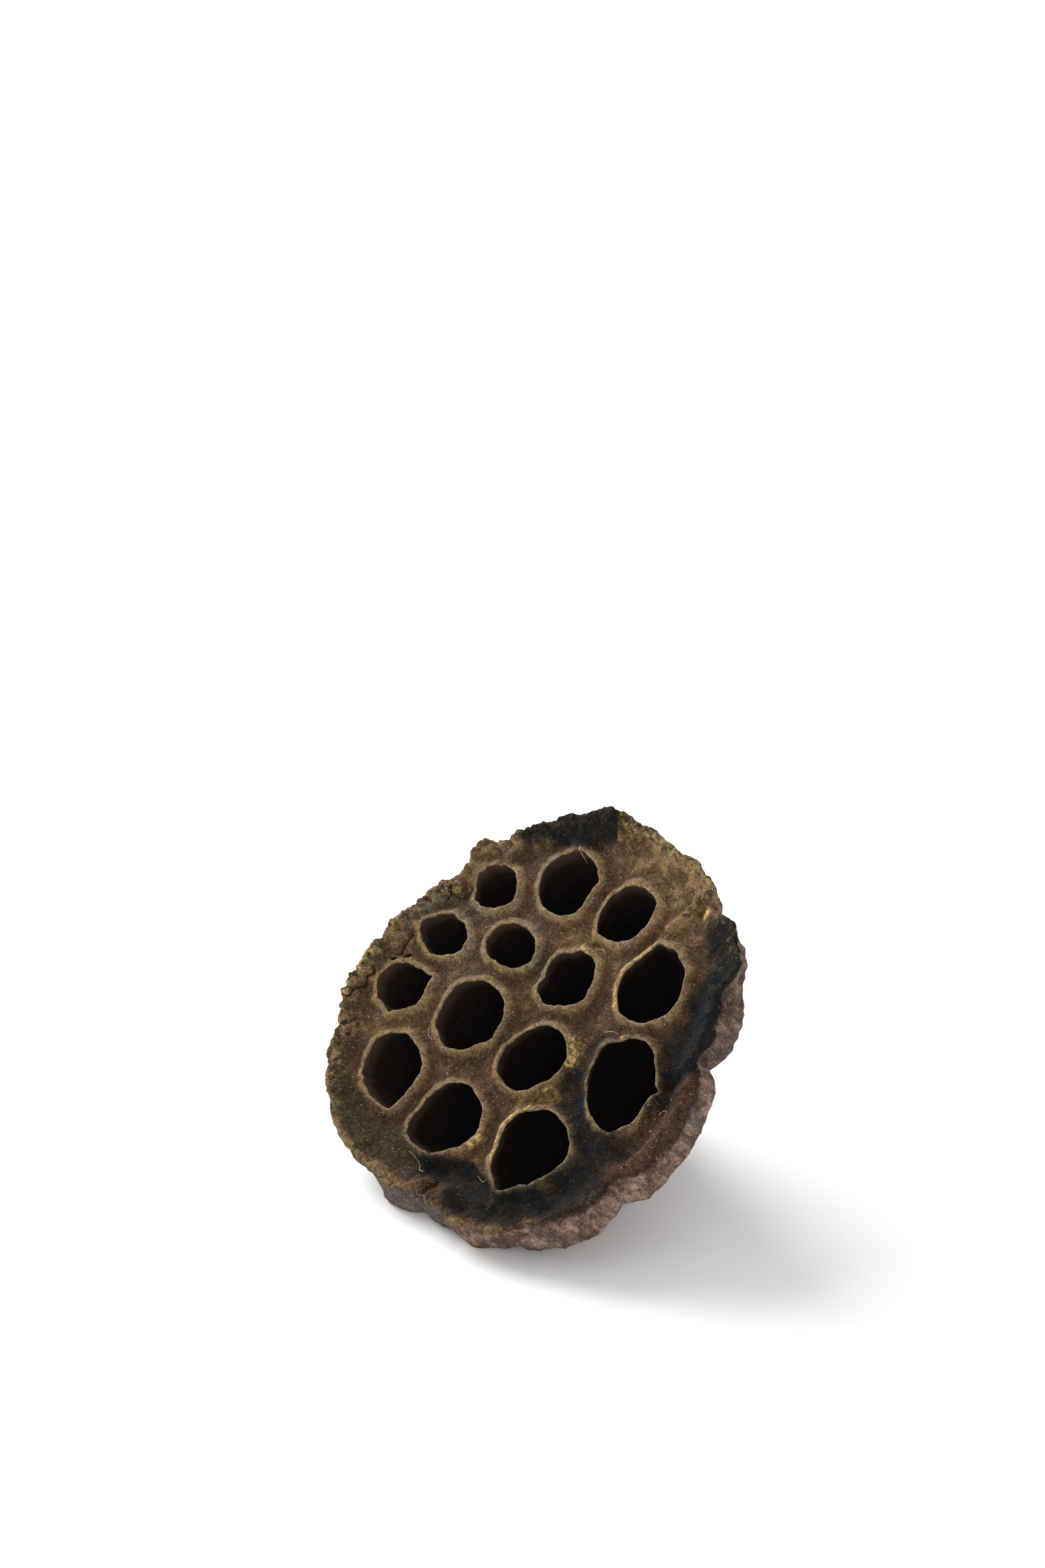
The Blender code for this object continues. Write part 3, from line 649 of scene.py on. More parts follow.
    def wall_radius(self, turn: np.ndarray, depth: np.ndarray) -> np.ndarray:
        """The outer wall's radius between the rim's roll and the neck."""
        share = (depth - self.shoulder_depth) / (self.neck_depth - self.shoulder_depth)
        shoulder = round_the_pod(SHOULDER, turn)[0]
        straight = shoulder * (1 - share) + self.neck_radius * share
        belly = self.belly * np.sin(math.pi * np.minimum(1.6 * share, 1.0))
        flare = -self.flare * np.sin(math.pi * share) * share
        below = straight + belly + flare + self.wall_relief(turn, depth)
        rim, height = self.rim(turn)
        wide = shoulder + self.wall_relief(turn, 0 * depth + self.shoulder_depth)
        flat = 0 * depth
        stops = (-height + 0.8 * MM, 2.6 * MM - 0.6 * height, 4.8 * MM + flat, self.shoulder_depth + flat)
        widths = (rim + 0.5 * MM, rim + 0.35 * (wide - rim) + 0.3 * MM, rim + 0.85 * (wide - rim), wide)
        above = widths[0]
        for low, high, a, b in zip(stops, stops[1:], widths, widths[1:]):
            part = np.clip((depth - low) / (high - low), 0, 1)
            above = np.where(depth > low, a + (b - a) * part, above)
        return np.where(depth > self.shoulder_depth, below, above)

    def wall_grain(self, turn: np.ndarray, depth: np.ndarray) -> np.ndarray:
        """The wall's fine relief: pleats and fibres that run down it, wrinkles across it, and the crust."""
        near_rim = bump(depth, 0.0, 10 * MM)
        place = self.around(turn, depth)
        taper = 1 - 0.75 * smooth_step((depth - 8 * MM) / (34 * MM))
        grain = sum(height * MM * creases(place * (1, 1, stretch), size * MM, seed) * taper
                    for height, stretch, size, seed in WALL_PLEATS)
        grain += 0.5 * MM * cloud(place, 5.0 * MM, 43.0) * (0.3 + 0.7 * near_rim) * taper
        across = creases(place * (0.45, 0.45, 1), 3.6 * MM, 35.0)
        grain += 0.34 * MM * across * (0.2 + 0.8 * near_rim) * taper
        crust = round_the_pod(CRUST, turn)[0] * bump(depth, 0.0, 3.0 * MM) * lumpy(place, WALL_LUMPS)
        grain = (grain - 0.12 * MM) * smooth_step(depth / (1.2 * MM))
        return grain + crust * smooth_step(depth / (0.8 * MM))


@dataclass
class SkinMesh:
    """Gathers the skin's vertices, faces and masks as it is built."""

    places: list[np.ndarray] = field(default_factory=list)
    faces: list[tuple[int, ...]] = field(default_factory=list)
    masks: dict[str, list[np.ndarray]] = field(default_factory=dict)
    count: int = 0

    def add(self, places: np.ndarray, **masks: np.ndarray) -> np.ndarray:
        """Adds vertices and their masks, where a mask that isn't named is 0.

        Returns:
            The new vertices' indices.
        """
        start = self.count
        size = len(places)
        self.places.append(places)
        for name in sorted(set(self.masks) | set(masks)):
            rows = self.masks.setdefault(name, [np.zeros(start)] if start else [])
            rows.append(np.broadcast_to(masks.get(name, 0.0), (size,)).astype(float))
        self.count += size
        return np.arange(start, start + size)

    def stitch(self, upper: np.ndarray, lower: np.ndarray) -> None:
        """Joins two rings of vertices, which may differ in number, with faces that look out of them.

        Args:
            upper: the upper ring's indices, anticlockwise seen from above.
            lower: the lower ring's, which starts at the same turn.
        """
        if len(upper) == len(lower):
            for a, b, c, d in zip(upper, np.roll(upper, -1), np.roll(lower, -1), lower):
                self.faces.append((a, d, c, b))
            return
        i = j = 0
        while i < len(upper) or j < len(lower):
            a, b = upper[i % len(upper)], lower[j % len(lower)]
            if (i + 1) / len(upper) <= (j + 1) / len(lower) and i < len(upper):
                self.faces.append((a, b, upper[(i + 1) % len(upper)]))
                i += 1
            else:
                self.faces.append((a, b, lower[(j + 1) % len(lower)]))
                j += 1

    def fan(self, loop: np.ndarray, centre: int, downward: bool) -> None:
        """Closes a ring with triangles to a middle vertex, facing down the growth axis or up it."""
        for a, b in zip(loop, np.roll(loop, -1)):
            self.faces.append((b, a, centre) if downward else (a, b, centre))


@dataclass
class PodSkin:
    """The pod's whole outer skin as one fine closed mesh, from the seats to the cut end of the stem."""

    form: PodForm = field(default_factory=PodForm)
    rim_points: int = 800
    rim_blend: float = 3 * MM
    nick_fade: float = 1.6 * MM
    raised_fade: float = 1.2 * MM
    wall_fade: float = 2.0 * MM
    stub_points: int = 96
    pith_rings: int = 14
    canals: int = 7
    canal_ring: float = 2.0 * MM
    canal_radius: float = 0.55 * MM
    canal_depth: float = 1.6 * MM
    seat_step: float = 0.42 * MM
    lip_rings: tuple[float, ...] = (0.2 * MM, 0.42 * MM, 0.7 * MM, 1.05 * MM, 1.45 * MM, 1.9 * MM)
    rim_rings: tuple[float, ...] = (0.3 * MM, 0.65 * MM, 1.05 * MM, 1.5 * MM, 2.0 * MM, 2.5 * MM)
    face_step: float = 0.55 * MM
    field_reach: float = 50 * MM
    crack_step: float = 0.26 * MM
    crack_clear: float = 0.6 * MM
    pit_clear: float = 1.6
    rim_clear: float = 0.3 * MM
    smoothings: int = 14
    wide_smoothings: int = 60
    wander_mm: float = 1.7
    wander_size: float = 4.5 * MM
    wander_seeds: tuple[float, float] = (51.0, 57.0)
    stroke_core: float = 0.25
    face_fade: float = 2.4 * MM
    mauve_reach: float = 16 * MM
    shade_start: float = 30 * MM
    shade_reach: float = 12 * MM
    full_hollow: float = 0.2 * MM
    full_valley: float = 0.32 * MM
    lying_turn: float = math.radians(44.4498)
    lying_place: tuple[float, float, float] = (0.001329, -0.002789, 0.037001)

    def rim_loop(self, inward: float) -> np.ndarray:
        """Places round the rim, a stated distance inside its nicked crest, as rows of x and y."""
        turn = np.arange(self.rim_points) * 360 / self.rim_points
        radius = self.form.rim(turn)[0] - inward + self.form.nicked(turn) * math.exp(-inward / (1.4 * MM))
        return np.column_stack((radius * np.cos(np.radians(turn)), radius * np.sin(np.radians(turn))))

    def seat_loop(self, seat: Seat, beyond: float) -> np.ndarray:
        """Places round a seat, a stated distance outside its edge, as rows of x and y."""
        count = round(2 * math.pi * seat.middle_radius / self.seat_step)
        angle = np.arange(count) * 2 * math.pi / count
        radius = self.form.seat_radius(seat, angle) + beyond
        return np.column_stack((seat.x + radius * np.cos(angle), seat.y + radius * np.sin(angle)))

    def broken_places(self) -> np.ndarray:
        """Closer places along the cracks and round the pits, so that the sheet can follow them."""
        found = []
        for places in CRACKS:
            points = np.array(places) * MM
            for start, end in zip(points, points[1:]):
                along = end - start
                length = np.hypot(*along)
                aside = np.array((-along[1], along[0])) / length
                for share in np.arange(0, 1, self.crack_step / length):
                    found += [start + along * share + aside * off * MM for off in CRACK_ROWS]
        for pit in PITS:
            turn = math.radians(pit.turn)
            for ring, count in PIT_RINGS:
                for angle in np.arange(count) * 2 * math.pi / count:
                    far = ring * pit.length / 2 * math.cos(angle)
                    aside = ring * pit.width / 2 * math.sin(angle)
                    x = pit.x + far * math.cos(turn) - aside * math.sin(turn)
                    y = pit.y + far * math.sin(turn) + aside * math.cos(turn)
                    found.append(np.array((x, y)) * MM)
        return np.array(found)

    def face_field(self) -> np.ndarray:
        """Places of the face between its edges: rings by the lips and the rim, an even field, and cracks."""
        form = self.form
        found = []
        for inward in self.rim_rings:
            ring = self.rim_loop(inward)
            found.append(ring[form.beyond_seats(*ring.T) > 0.8 * inward + 0.1 * MM])
        last_rim, last_lip = self.rim_rings[-1], self.lip_rings[-1]
        for seat in SEATS:
            others = [other for other in SEATS if other is not seat]
            for beyond in self.lip_rings:
                ring = self.seat_loop(seat, beyond)
                apart = np.min([form.beyond_seat(other, *ring.T) for other in others], axis=0)
                clear = (apart > beyond + 0.1 * MM) & (form.inside_rim(*ring.T) > last_rim + self.rim_clear)
                found.append(ring[clear])
        rows = int(self.field_reach / self.face_step)
        row, column = np.mgrid[-rows:rows + 1, -rows:rows + 1]
        x = (column + 0.5 * (row % 2)) * self.face_step
        y = row * self.face_step * math.sqrt(3) / 2
        x, y = x.ravel(), y.ravel()
        clear = form.inside_rim(x, y) > last_rim + self.rim_clear
        clear &= form.beyond_seats(x, y) > last_lip + 0.25 * MM
        found.append(np.column_stack((x, y))[clear])
        even = np.vstack(found)
        near = np.min([off_line(*even.T, places) for places in CRACKS], axis=0) < self.crack_clear
        for pit in PITS:
            near |= form.from_pit(pit, *even.T) < self.pit_clear
        fine = self.broken_places()
        fine = fine[(form.inside_rim(*fine.T) > 0.45 * MM) & (form.beyond_seats(*fine.T) > 0.5 * MM)]
        return np.vstack((even[~near], fine))

    def add_face(self, skin: SkinMesh) -> list[np.ndarray]:
        """The face as one sheet between the rim's crest and the seats' edges.

        Returns:
            The crest's vertices, then each seat's edge.
        """
        form = self.form
        loops = [self.rim_loop(0.0)] + [self.seat_loop(seat, 0.0) for seat in SEATS]
        starts = np.cumsum([0] + [len(loop) for loop in loops])
        edges = []
        for start, loop in zip(starts, loops):
            edges += [(start + i, start + (i + 1) % len(loop)) for i in range(len(loop))]
        places = np.vstack(loops + [self.face_field()])
        flat = [Vector(place) for place in places]
        triangles, sources = delaunay_2d_cdt(flat, edges, [], 0, 1e-7)[2:4]
        x, y = places.T
        from_seat = np.maximum(form.beyond_seats(x, y), 0.0)
        from_rim = np.maximum(form.inside_rim(x, y), 0.0)
        crusted = form.crusted(np.degrees(np.arctan2(y, x)))
        verts = skin.add(
            np.column_stack((x, y, form.face_height(x, y))),
            lip=bump(from_seat, 0.16 * MM, 0.38 * MM),
            slope=np.exp(-from_seat / (1.3 * MM)),
            rim=np.exp(-from_rim / (2.2 * MM)) * crusted,
            crack=form.broken(x, y)[1],
        )
        owner = np.full(len(places), -1)
        for k, (start, loop) in enumerate(zip(starts, loops)):
            owner[start:start + len(loop)] = k
        tri = np.array([s[0] for s in sources])[np.array(triangles)]
        mean = places[tri].mean(axis=1)
        owners = owner[tri]
        same = (owners[:, 0] == owners[:, 1]) & (owners[:, 1] == owners[:, 2])
        keep = ~same | (owners[:, 0] < 0)
        for k, loop in enumerate(loops):
            mine = same & (owners[:, 0] == k)
            keep[mine] = inside_loop(mean[mine], loop) == (k == 0)
        for triangle in tri[keep]:
            skin.faces.append(tuple(int(verts[t]) for t in triangle))
        return [verts[start:start + len(loop)] for start, loop in zip(starts, loops)]

    def add_chamber(self, skin: SkinMesh, seat: Seat, edge: np.ndarray) -> None:
        """The chamber below a seat's edge: it widens under the lip, leans in and rounds to its floor."""
        form = self.form
        rim = np.vstack(skin.places)[edge]
        depth = form.seat_depth + seat.middle_radius
        mouth = np.array((seat.x, seat.y, rim[:, 2].mean()))
        axis = np.array((0, 0, -form.seat_lean)) - mouth
        axis /= np.linalg.norm(axis)
        out = rim - mouth
        above = edge
        for share in CHAMBER_RINGS:
            width = np.interp(share, CHAMBER_STOPS, CHAMBER_WIDTHS)
            round_off = math.sqrt(max(0.0, 1 - max(0.0, (share - 0.5) / 0.5) ** 2))
            width = min(width, max(CHAMBER_WIDTHS) * round_off) if share > 0.5 else width
            sunk = mouth + axis * depth * share
            ring = sunk + np.column_stack((out[:, 0] * width, out[:, 1] * width, out[:, 2] * (1 - share)))
            rough = sum(cloud(ring, size * MM, seed) * high * MM for high, size, seed in CHAMBER_NOISE)
            aside = ring - sunk
            ring = ring + aside / np.linalg.norm(aside, axis=1)[:, None] * rough[:, None]
            below = skin.add(ring, chamber=min(1.0, 0.1 + 1.2 * share))
            skin.stitch(below, above)
            above = below
        floor = skin.add(np.array([mouth + axis * depth]), chamber=1.0)
        skin.fan(above, int(floor[0]), downward=False)

    def add_wall(self, skin: SkinMesh, crest: np.ndarray) -> np.ndarray:
        """The outer wall, from the rim's crest down to the neck.

        Returns:
            The wall's last ring.
        """
        form = self.form
        turn = np.arange(self.rim_points) * 360 / self.rim_points
        raised = np.vstack(skin.places)[crest][:, 2] - form.rim(turn)[1]
        rows = [(depth, self.rim_points) for depth in RIM_ROLL_RINGS]
        for first, step, rings, points in WALL_RINGS:
            rows += [(first + step * i, points) for i in range(rings)]
        above = crest
        for millimetres, count in rows:
            depth = millimetres * MM
            turn = np.arange(count) * 360 / count
            deep = np.full(count, depth)
            top = form.rim(turn)[1]
            sunk = np.where(deep < self.rim_blend, deep - top * (1 - deep / self.rim_blend), deep)
            radius = form.wall_radius(turn, sunk) + form.wall_grain(turn, deep)
            radius += form.nicked(turn) * math.exp(-depth / self.nick_fade)
            angle = np.radians(turn)
            height = -sunk
            if count == self.rim_points:
                height = height + raised * math.exp(-depth / self.raised_fade)
            below = skin.add(
                np.column_stack((radius * np.cos(angle), radius * np.sin(angle), height)),
                wall=smooth_step((depth + 0.7 * MM - form.face_reach(turn)) / self.wall_fade),
                down=depth,
                rim=math.exp(-depth / (2.0 * MM)) * form.crusted(turn),
            )
            skin.stitch(above, below)
            above = below
        return above

    def add_stub(self, skin: SkinMesh, above: np.ndarray) -> None:
        """The short stub of the stem and its cut end, with the mouths of its air canals."""
        form = self.form
        count = self.stub_points
        angle = np.radians(np.arange(count) * 360 / count)
        cut_radius = form.stub_radius - 0.35 * MM
        rows = [(form.neck_radius, form.neck_depth)]
        rows += [(form.stub_radius, form.neck_depth + step * MM) for step in STUB_RINGS]
        rows += [(form.stub_radius, form.stub_end - 0.3 * MM), (cut_radius, form.stub_end)]
        rows += [(cut_radius - step * MM, form.stub_end) for step in CUT_RINGS]
        ends = np.linspace(form.stub_radius - 1.4 * MM, 0.2 * MM, self.pith_rings)
        rows += [(radius, form.stub_end - form.pith_sink) for radius in ends]
        for radius, depth in rows:
            out = radius * (1 + 0.03 * np.sin(8 * angle) + 0.04 * np.cos(2 * angle))
            sunk = np.full(count, depth)
            canal = np.zeros(count)
            pith = radius < ends[0] + 1e-9
            if pith:
                for i in range(self.canals):
                    way = 2 * math.pi * i / self.canals + 0.3
                    gap = np.hypot(out * np.cos(angle) - self.canal_ring * math.cos(way),
                                   out * np.sin(angle) - self.canal_ring * math.sin(way))
                    canal = np.maximum(canal, smooth_step(1.6 - gap / self.canal_radius))
                sunk = sunk - self.canal_depth * canal
            ring = np.column_stack((out * np.cos(angle), out * np.sin(angle), -sunk))
            ring[:, 2] += 0.1 * MM * cloud(ring, 0.7 * MM, 41.0)
            cut = float(depth > form.stub_end - 0.1 * MM or pith)
            below = skin.add(ring, wall=1.0, down=depth, cut=cut, canal=canal)
            skin.stitch(above, below)
            above = below
        end = np.array([(0, 0, -form.stub_end + form.pith_sink)])
        centre = skin.add(end, wall=1.0, down=form.stub_end, cut=1.0)
        skin.fan(above, int(centre[0]), downward=True)

    def paint(self, grown: np.ndarray, masks: dict[str, np.ndarray]) -> None:
        """Adds a mask for each tint, worked out from the strokes."""
        wander = np.column_stack([cloud(grown, self.wander_size, seed) for seed in self.wander_seeds])
        wander = wander * self.wander_mm * MM
        x, y = grown[:, 0] + wander[:, 0], grown[:, 1] + wander[:, 1]
        outside = 1 - np.minimum(masks["chamber"] * 8, 1)
        past = masks["down"] - self.form.face_reach(np.degrees(np.arctan2(grown[:, 1], grown[:, 0])))
        on_face = outside * bump(np.maximum(past, 0.0), 0.0, self.face_fade)
        on_wall = outside * smooth_step(masks["down"] / MM) * bump(masks["down"], 0.0, self.mauve_reach)
        for tint in Tint:
            cover = np.zeros(len(grown))
            for stroke in STROKES:
                if stroke.tint is tint:
                    share = off_line(x, y, stroke.places) / (stroke.reach * MM)
                    fade = smooth_step((share - self.stroke_core) / (1 - self.stroke_core))
                    cover = np.maximum(cover, stroke.strength * (1 - fade))
            masks[tint.value] = cover * (on_wall if tint is Tint.MAUVE else on_face)
        masks["shade"] = smooth_step((masks["down"] - self.shade_start) / self.shade_reach)

    def relief_masks(self, places: np.ndarray, mesh: bpy.types.Mesh, masks: dict[str, np.ndarray]) -> None:
        """Adds masks of hollows and valleys, for painted shade with darker skin, and of ridges, for painted
        highlight with paler skin, from how far each vertex lies off its smoothed place.
        """
        edges = np.zeros(len(mesh.edges) * 2, int)
        mesh.edges.foreach_get("vertices", edges)
        a, b = edges.reshape(-1, 2).T
        shares = np.bincount(a, minlength=len(places)) + np.bincount(b, minlength=len(places))
        normals = np.zeros(len(places) * 3)
        mesh.vertices.foreach_get("normal", normals)
        normals = normals.reshape(-1, 3)
        smooth = places.copy()
        for step in range(1, self.wide_smoothings + 1):
            total = np.zeros_like(smooth)
            for axis in range(3):
                total[:, axis] += np.bincount(a, smooth[b, axis], len(places))
                total[:, axis] += np.bincount(b, smooth[a, axis], len(places))
            smooth = total / shares[:, None]
            if step == self.smoothings:
                over = ((places - smooth) * normals).sum(axis=1)
                masks["hollow"] = np.clip(-over / self.full_hollow, 0, 1)
                masks["ridge_pale_and_highlight"] = np.clip(over / self.full_hollow, 0, 1)
        over = ((places - smooth) * normals).sum(axis=1)
        masks["valley_dark_and_shade"] = np.clip(-over / self.full_valley, 0, 1)

    def build(self) -> bpy.types.Object:
        """Builds the skin, lays it where the frame has the pod, and gives it its masks as attributes.

        Returns:
            The skin, at the origin, with its place in its mesh.
        """
        skin = SkinMesh()
        crest, *edges = self.add_face(skin)
        for seat, edge in zip(SEATS, edges):
            self.add_chamber(skin, seat, edge)
        self.add_stub(skin, self.add_wall(skin, crest))
        grown = np.vstack(skin.places)
        lying = self.lay_down(grown)
        mesh = bpy.data.meshes.new("pod_skin")
        mesh.from_pydata(lying.tolist(), [], skin.faces)
        masks = {name: np.concatenate(rows) for name, rows in skin.masks.items()}
        self.paint(grown, masks)
        self.relief_masks(lying, mesh, masks)
        for name, values in masks.items():
            layer = mesh.attributes.new(name, "FLOAT", "POINT")
            layer.data.foreach_set("value", values.astype(np.float32))
        mesh.validate()
        mesh.shade_smooth()
        return add_object("pod_skin", mesh)

    def lay_down(self, grown: np.ndarray) -> np.ndarray:
        """Moves places from the growth frame to where the pod lies, none of them below the floor."""
        lying = grown @ np.array(Euler((self.lying_turn, 0, 0)).to_matrix()).T + np.array(self.lying_place)
        lying[:, 2] = np.maximum(lying[:, 2], 0.0)
        return lying


@dataclass(frozen=True)
class Strand:
    """A fibre that lies on the pod: its radius and the places that it runs over, in millimetres."""

    radius: float
    places: Places


STRANDS = tuple(Strand(*row) for row in (
    (0.055, ((36.4, -6.9), (36.3, -6.2), (36.9, -5.6), (37.7, -5.6), (38.2, -6.3), (38.1, -7.2))),
    (0.06, ((-11.8, 36), (-11.4, 35), (-11, 34))),
    (0.06, ((-12.1, -35), (-10.6, -35.2), (-9.1, -36.2), (-8.2, -37.4), (-7.1, -37.2))),
    (0.05, ((15.5, 3.5), (17.3, 4.4), (18.6, 4.2))),
    (0.05, ((-24.6, 12.8), (-23, 13.9), (-21, 13.6))),
    (0.05, ((-37.5, -14), (-36, -13), (-35.4, -11.6))),
    (0.06, ((3.4, 18), (5.2, 18.6), (6.3, 17.8))),
    (0.05, ((-24.4, -10.6), (-23.2, -12.2), (-21.4, -12.6))),
    (0.04, ((8.4, -33), (6.8, -33.8), (5.2, -33.1))),
    (0.12, ((37.9, -3.5), (38.5, -3.2))),
    (0.12, ((36.6, -10.7), (37.1, -10.3))),
))


@dataclass
class Litter:
    """Hairs, a straw and slivers that lie on the skin, as one mesh of thin tubes."""

    strands: tuple[Strand, ...] = STRANDS
    sides: int = 6
    step: float = 0.22 * MM
    start_height: float = 12.0 * MM
    path_smoothings: int = 3
    drop_smoothings: int = 4
    lift: float = 0.8
    tip: float = 0.45

    def build(self, skin: bpy.types.Object, lay_down: LayDown) -> bpy.types.Object:
        """Lays each strand on the skin.

        Args:
            skin: the pod's skin as it lies.
            lay_down: moves places from the growth frame to where the pod lies.

        Returns:
            The litter, at the origin, with its place in its mesh.
        """
        vertices_below = [vertex.co for vertex in skin.data.vertices]
        tree = BVHTree.FromPolygons(vertices_below, [face.vertices for face in skin.data.polygons])
        vertices: list[Vector] = []
        faces: list[tuple[int, ...]] = []
        for strand in self.strands:
            path = self.laid_path(tree, strand, lay_down)
            self.add_tube(path, strand.radius * MM, vertices, faces)
        mesh = bpy.data.meshes.new("litter")
        mesh.from_pydata(vertices, [], faces)
        mesh.shade_smooth()
        return add_object("litter", mesh)

    def laid_path(self, tree: BVHTree, strand: Strand, lay_down: LayDown) -> list[Vector]:
        """A strand's middle line, which rests on the high places under it and bridges the low ones."""
        places = np.array(strand.places) * MM
        lengths = np.hypot(*np.diff(places, axis=0).T)
        along = np.concatenate(([0.0], np.cumsum(lengths)))
        wanted = np.linspace(0, along[-1], max(4, round(along[-1] / self.step)))
        flat = np.column_stack([np.interp(wanted, along, places[:, axis]) for axis in range(2)])
        flat = evened(flat, self.path_smoothings)
        tops = lay_down(np.column_stack((flat, np.full(len(flat), self.start_height))))
        down = Vector(lay_down(np.zeros((1, 3)))[0] - lay_down(np.array([(0, 0, self.start_height)]))[0])
        down.normalize()
        drops = np.array([tree.ray_cast(Vector(top), down)[3] or 0.0 for top in tops])
        drops = np.minimum(evened(drops, self.drop_smoothings), drops) - strand.radius * MM * self.lift
        return [Vector(top) + down * drop for top, drop in zip(tops, drops)]

    def add_tube(self, path: list[Vector], radius: float, vertices: list, faces: list) -> None:
        """Adds a tube along a path, thinner at its closed ends."""
        start = len(vertices)
        for i, place in enumerate(path):
            ahead = path[min(i + 1, len(path) - 1)] - path[max(i - 1, 0)]
            aside = ahead.orthogonal().normalized()
            turned = Matrix.Rotation(2 * math.pi / self.sides, 3, ahead.normalized())
            taper = self.tip if i in (0, len(path) - 1) else 1.0
            for _ in range(self.sides):
                vertices.append(place + aside * radius * taper)
                aside = turned @ aside
        for i in range(len(path) - 1):
            low = start + i * self.sides
            for k in range(self.sides):
                after = (k + 1) % self.sides
                faces.append((low + k, low + after, low + self.sides + after, low + self.sides + k))
        last = start + (len(path) - 1) * self.sides
        faces.append(tuple(start + k for k in reversed(range(self.sides))))
        faces.append(tuple(last + k for k in range(self.sides)))


class Graph:
    """A short way to write a node tree: each call adds a node, sets its inputs and gives its output."""

    def __init__(self, tree: bpy.types.NodeTree) -> None:
        """Keeps the tree that nodes go into."""
        self.tree = tree

    def add(
        self, kind: str, output: int | str = 0, settings: dict | None = None, **inputs: object,
    ) -> Socket:
        """Adds a node.

        Args:
            kind: the node's type.
            output: which of its outputs to give.
            settings: the node's own properties.
            inputs: the input sockets by name, with _ for a space, each a value or another node's output.

        Returns:
            The output socket.
        """
        node = self.tree.nodes.new(kind)
        for name, value in (settings or {}).items():
            setattr(node, name, value)
        for name, value in inputs.items():
            self.plug(node.inputs[name.replace("_", " ")], value)
        return node.outputs[output]

    def plug(self, socket: Socket, value: object) -> None:
        """Sets an input to a value, or links another node's output to it."""
        if isinstance(value, bpy.types.NodeSocket):
            self.tree.links.new(value, socket)
        elif isinstance(value, tuple) and len(value) == 3 and socket.type == "RGBA":
            socket.default_value = (*value, 1.0)
        else:
            socket.default_value = value

    def maths(self, operation: str, a: object, b: object = 0.0, clamp: bool = False) -> Socket:
        """One sum of two values."""
        node = self.tree.nodes.new("ShaderNodeMath")
        node.operation = operation
        node.use_clamp = clamp
        self.plug(node.inputs[0], a)
        self.plug(node.inputs[1], b)
        return node.outputs[0]

    def times(self, *values: object) -> Socket:
        """The product of two or more values."""
        return reduce(lambda a, b: self.maths("MULTIPLY", a, b), values)

    def plus(self, *values: object) -> Socket:
        """The sum of two or more values."""
        return reduce(lambda a, b: self.maths("ADD", a, b), values)

    def mix(self, share: object, a: object, b: object, blend: str = "MIX") -> Socket:
        """A colour between two others."""
        node = self.tree.nodes.new("ShaderNodeMix")
        node.data_type = "RGBA"
        node.blend_type = blend
        self.plug(node.inputs[0], share)
        self.plug(node.inputs[6], a)
        self.plug(node.inputs[7], b)
        return node.outputs[2]

    def layered(self, colour: object, *layers: tuple[object, object]) -> Socket:
        """A colour with others laid over it in turn, each as its share and its colour."""
        for share, over in layers:
            colour = self.mix(share, colour, over)
        return colour

    def ease(self, value: object, low: object, high: object, start: float = 0.0, end: float = 1.0) -> Socket:
        """A smooth rise from start to end as the value goes from low to high."""
        return self.add("ShaderNodeMapRange", 0, {"interpolation_type": "SMOOTHSTEP"}, Value=value,
                        From_Min=low, From_Max=high, To_Min=start, To_Max=end)

    def mask(self, name: str) -> Socket:
        """One of the skin's own masks."""
        return self.add("ShaderNodeAttribute", "Fac", {"attribute_name": name})

    def grain(self, vector: Socket, per_metre: object, detail: float = 3.0, rough: float = 0.55) -> Socket:
        """Fractal noise from 0 to 1."""
        return self.add("ShaderNodeTexNoise", Vector=vector, Scale=per_metre, Detail=detail, Roughness=rough)


def start_material(name: str) -> tuple[bpy.types.Material, Graph, bpy.types.ShaderNode]:
    """A new material, the graph of its nodes, and its Principled shader."""
    material = bpy.data.materials.new(name)
    material.use_nodes = True
    return material, Graph(material.node_tree), material.node_tree.nodes["Principled BSDF"]


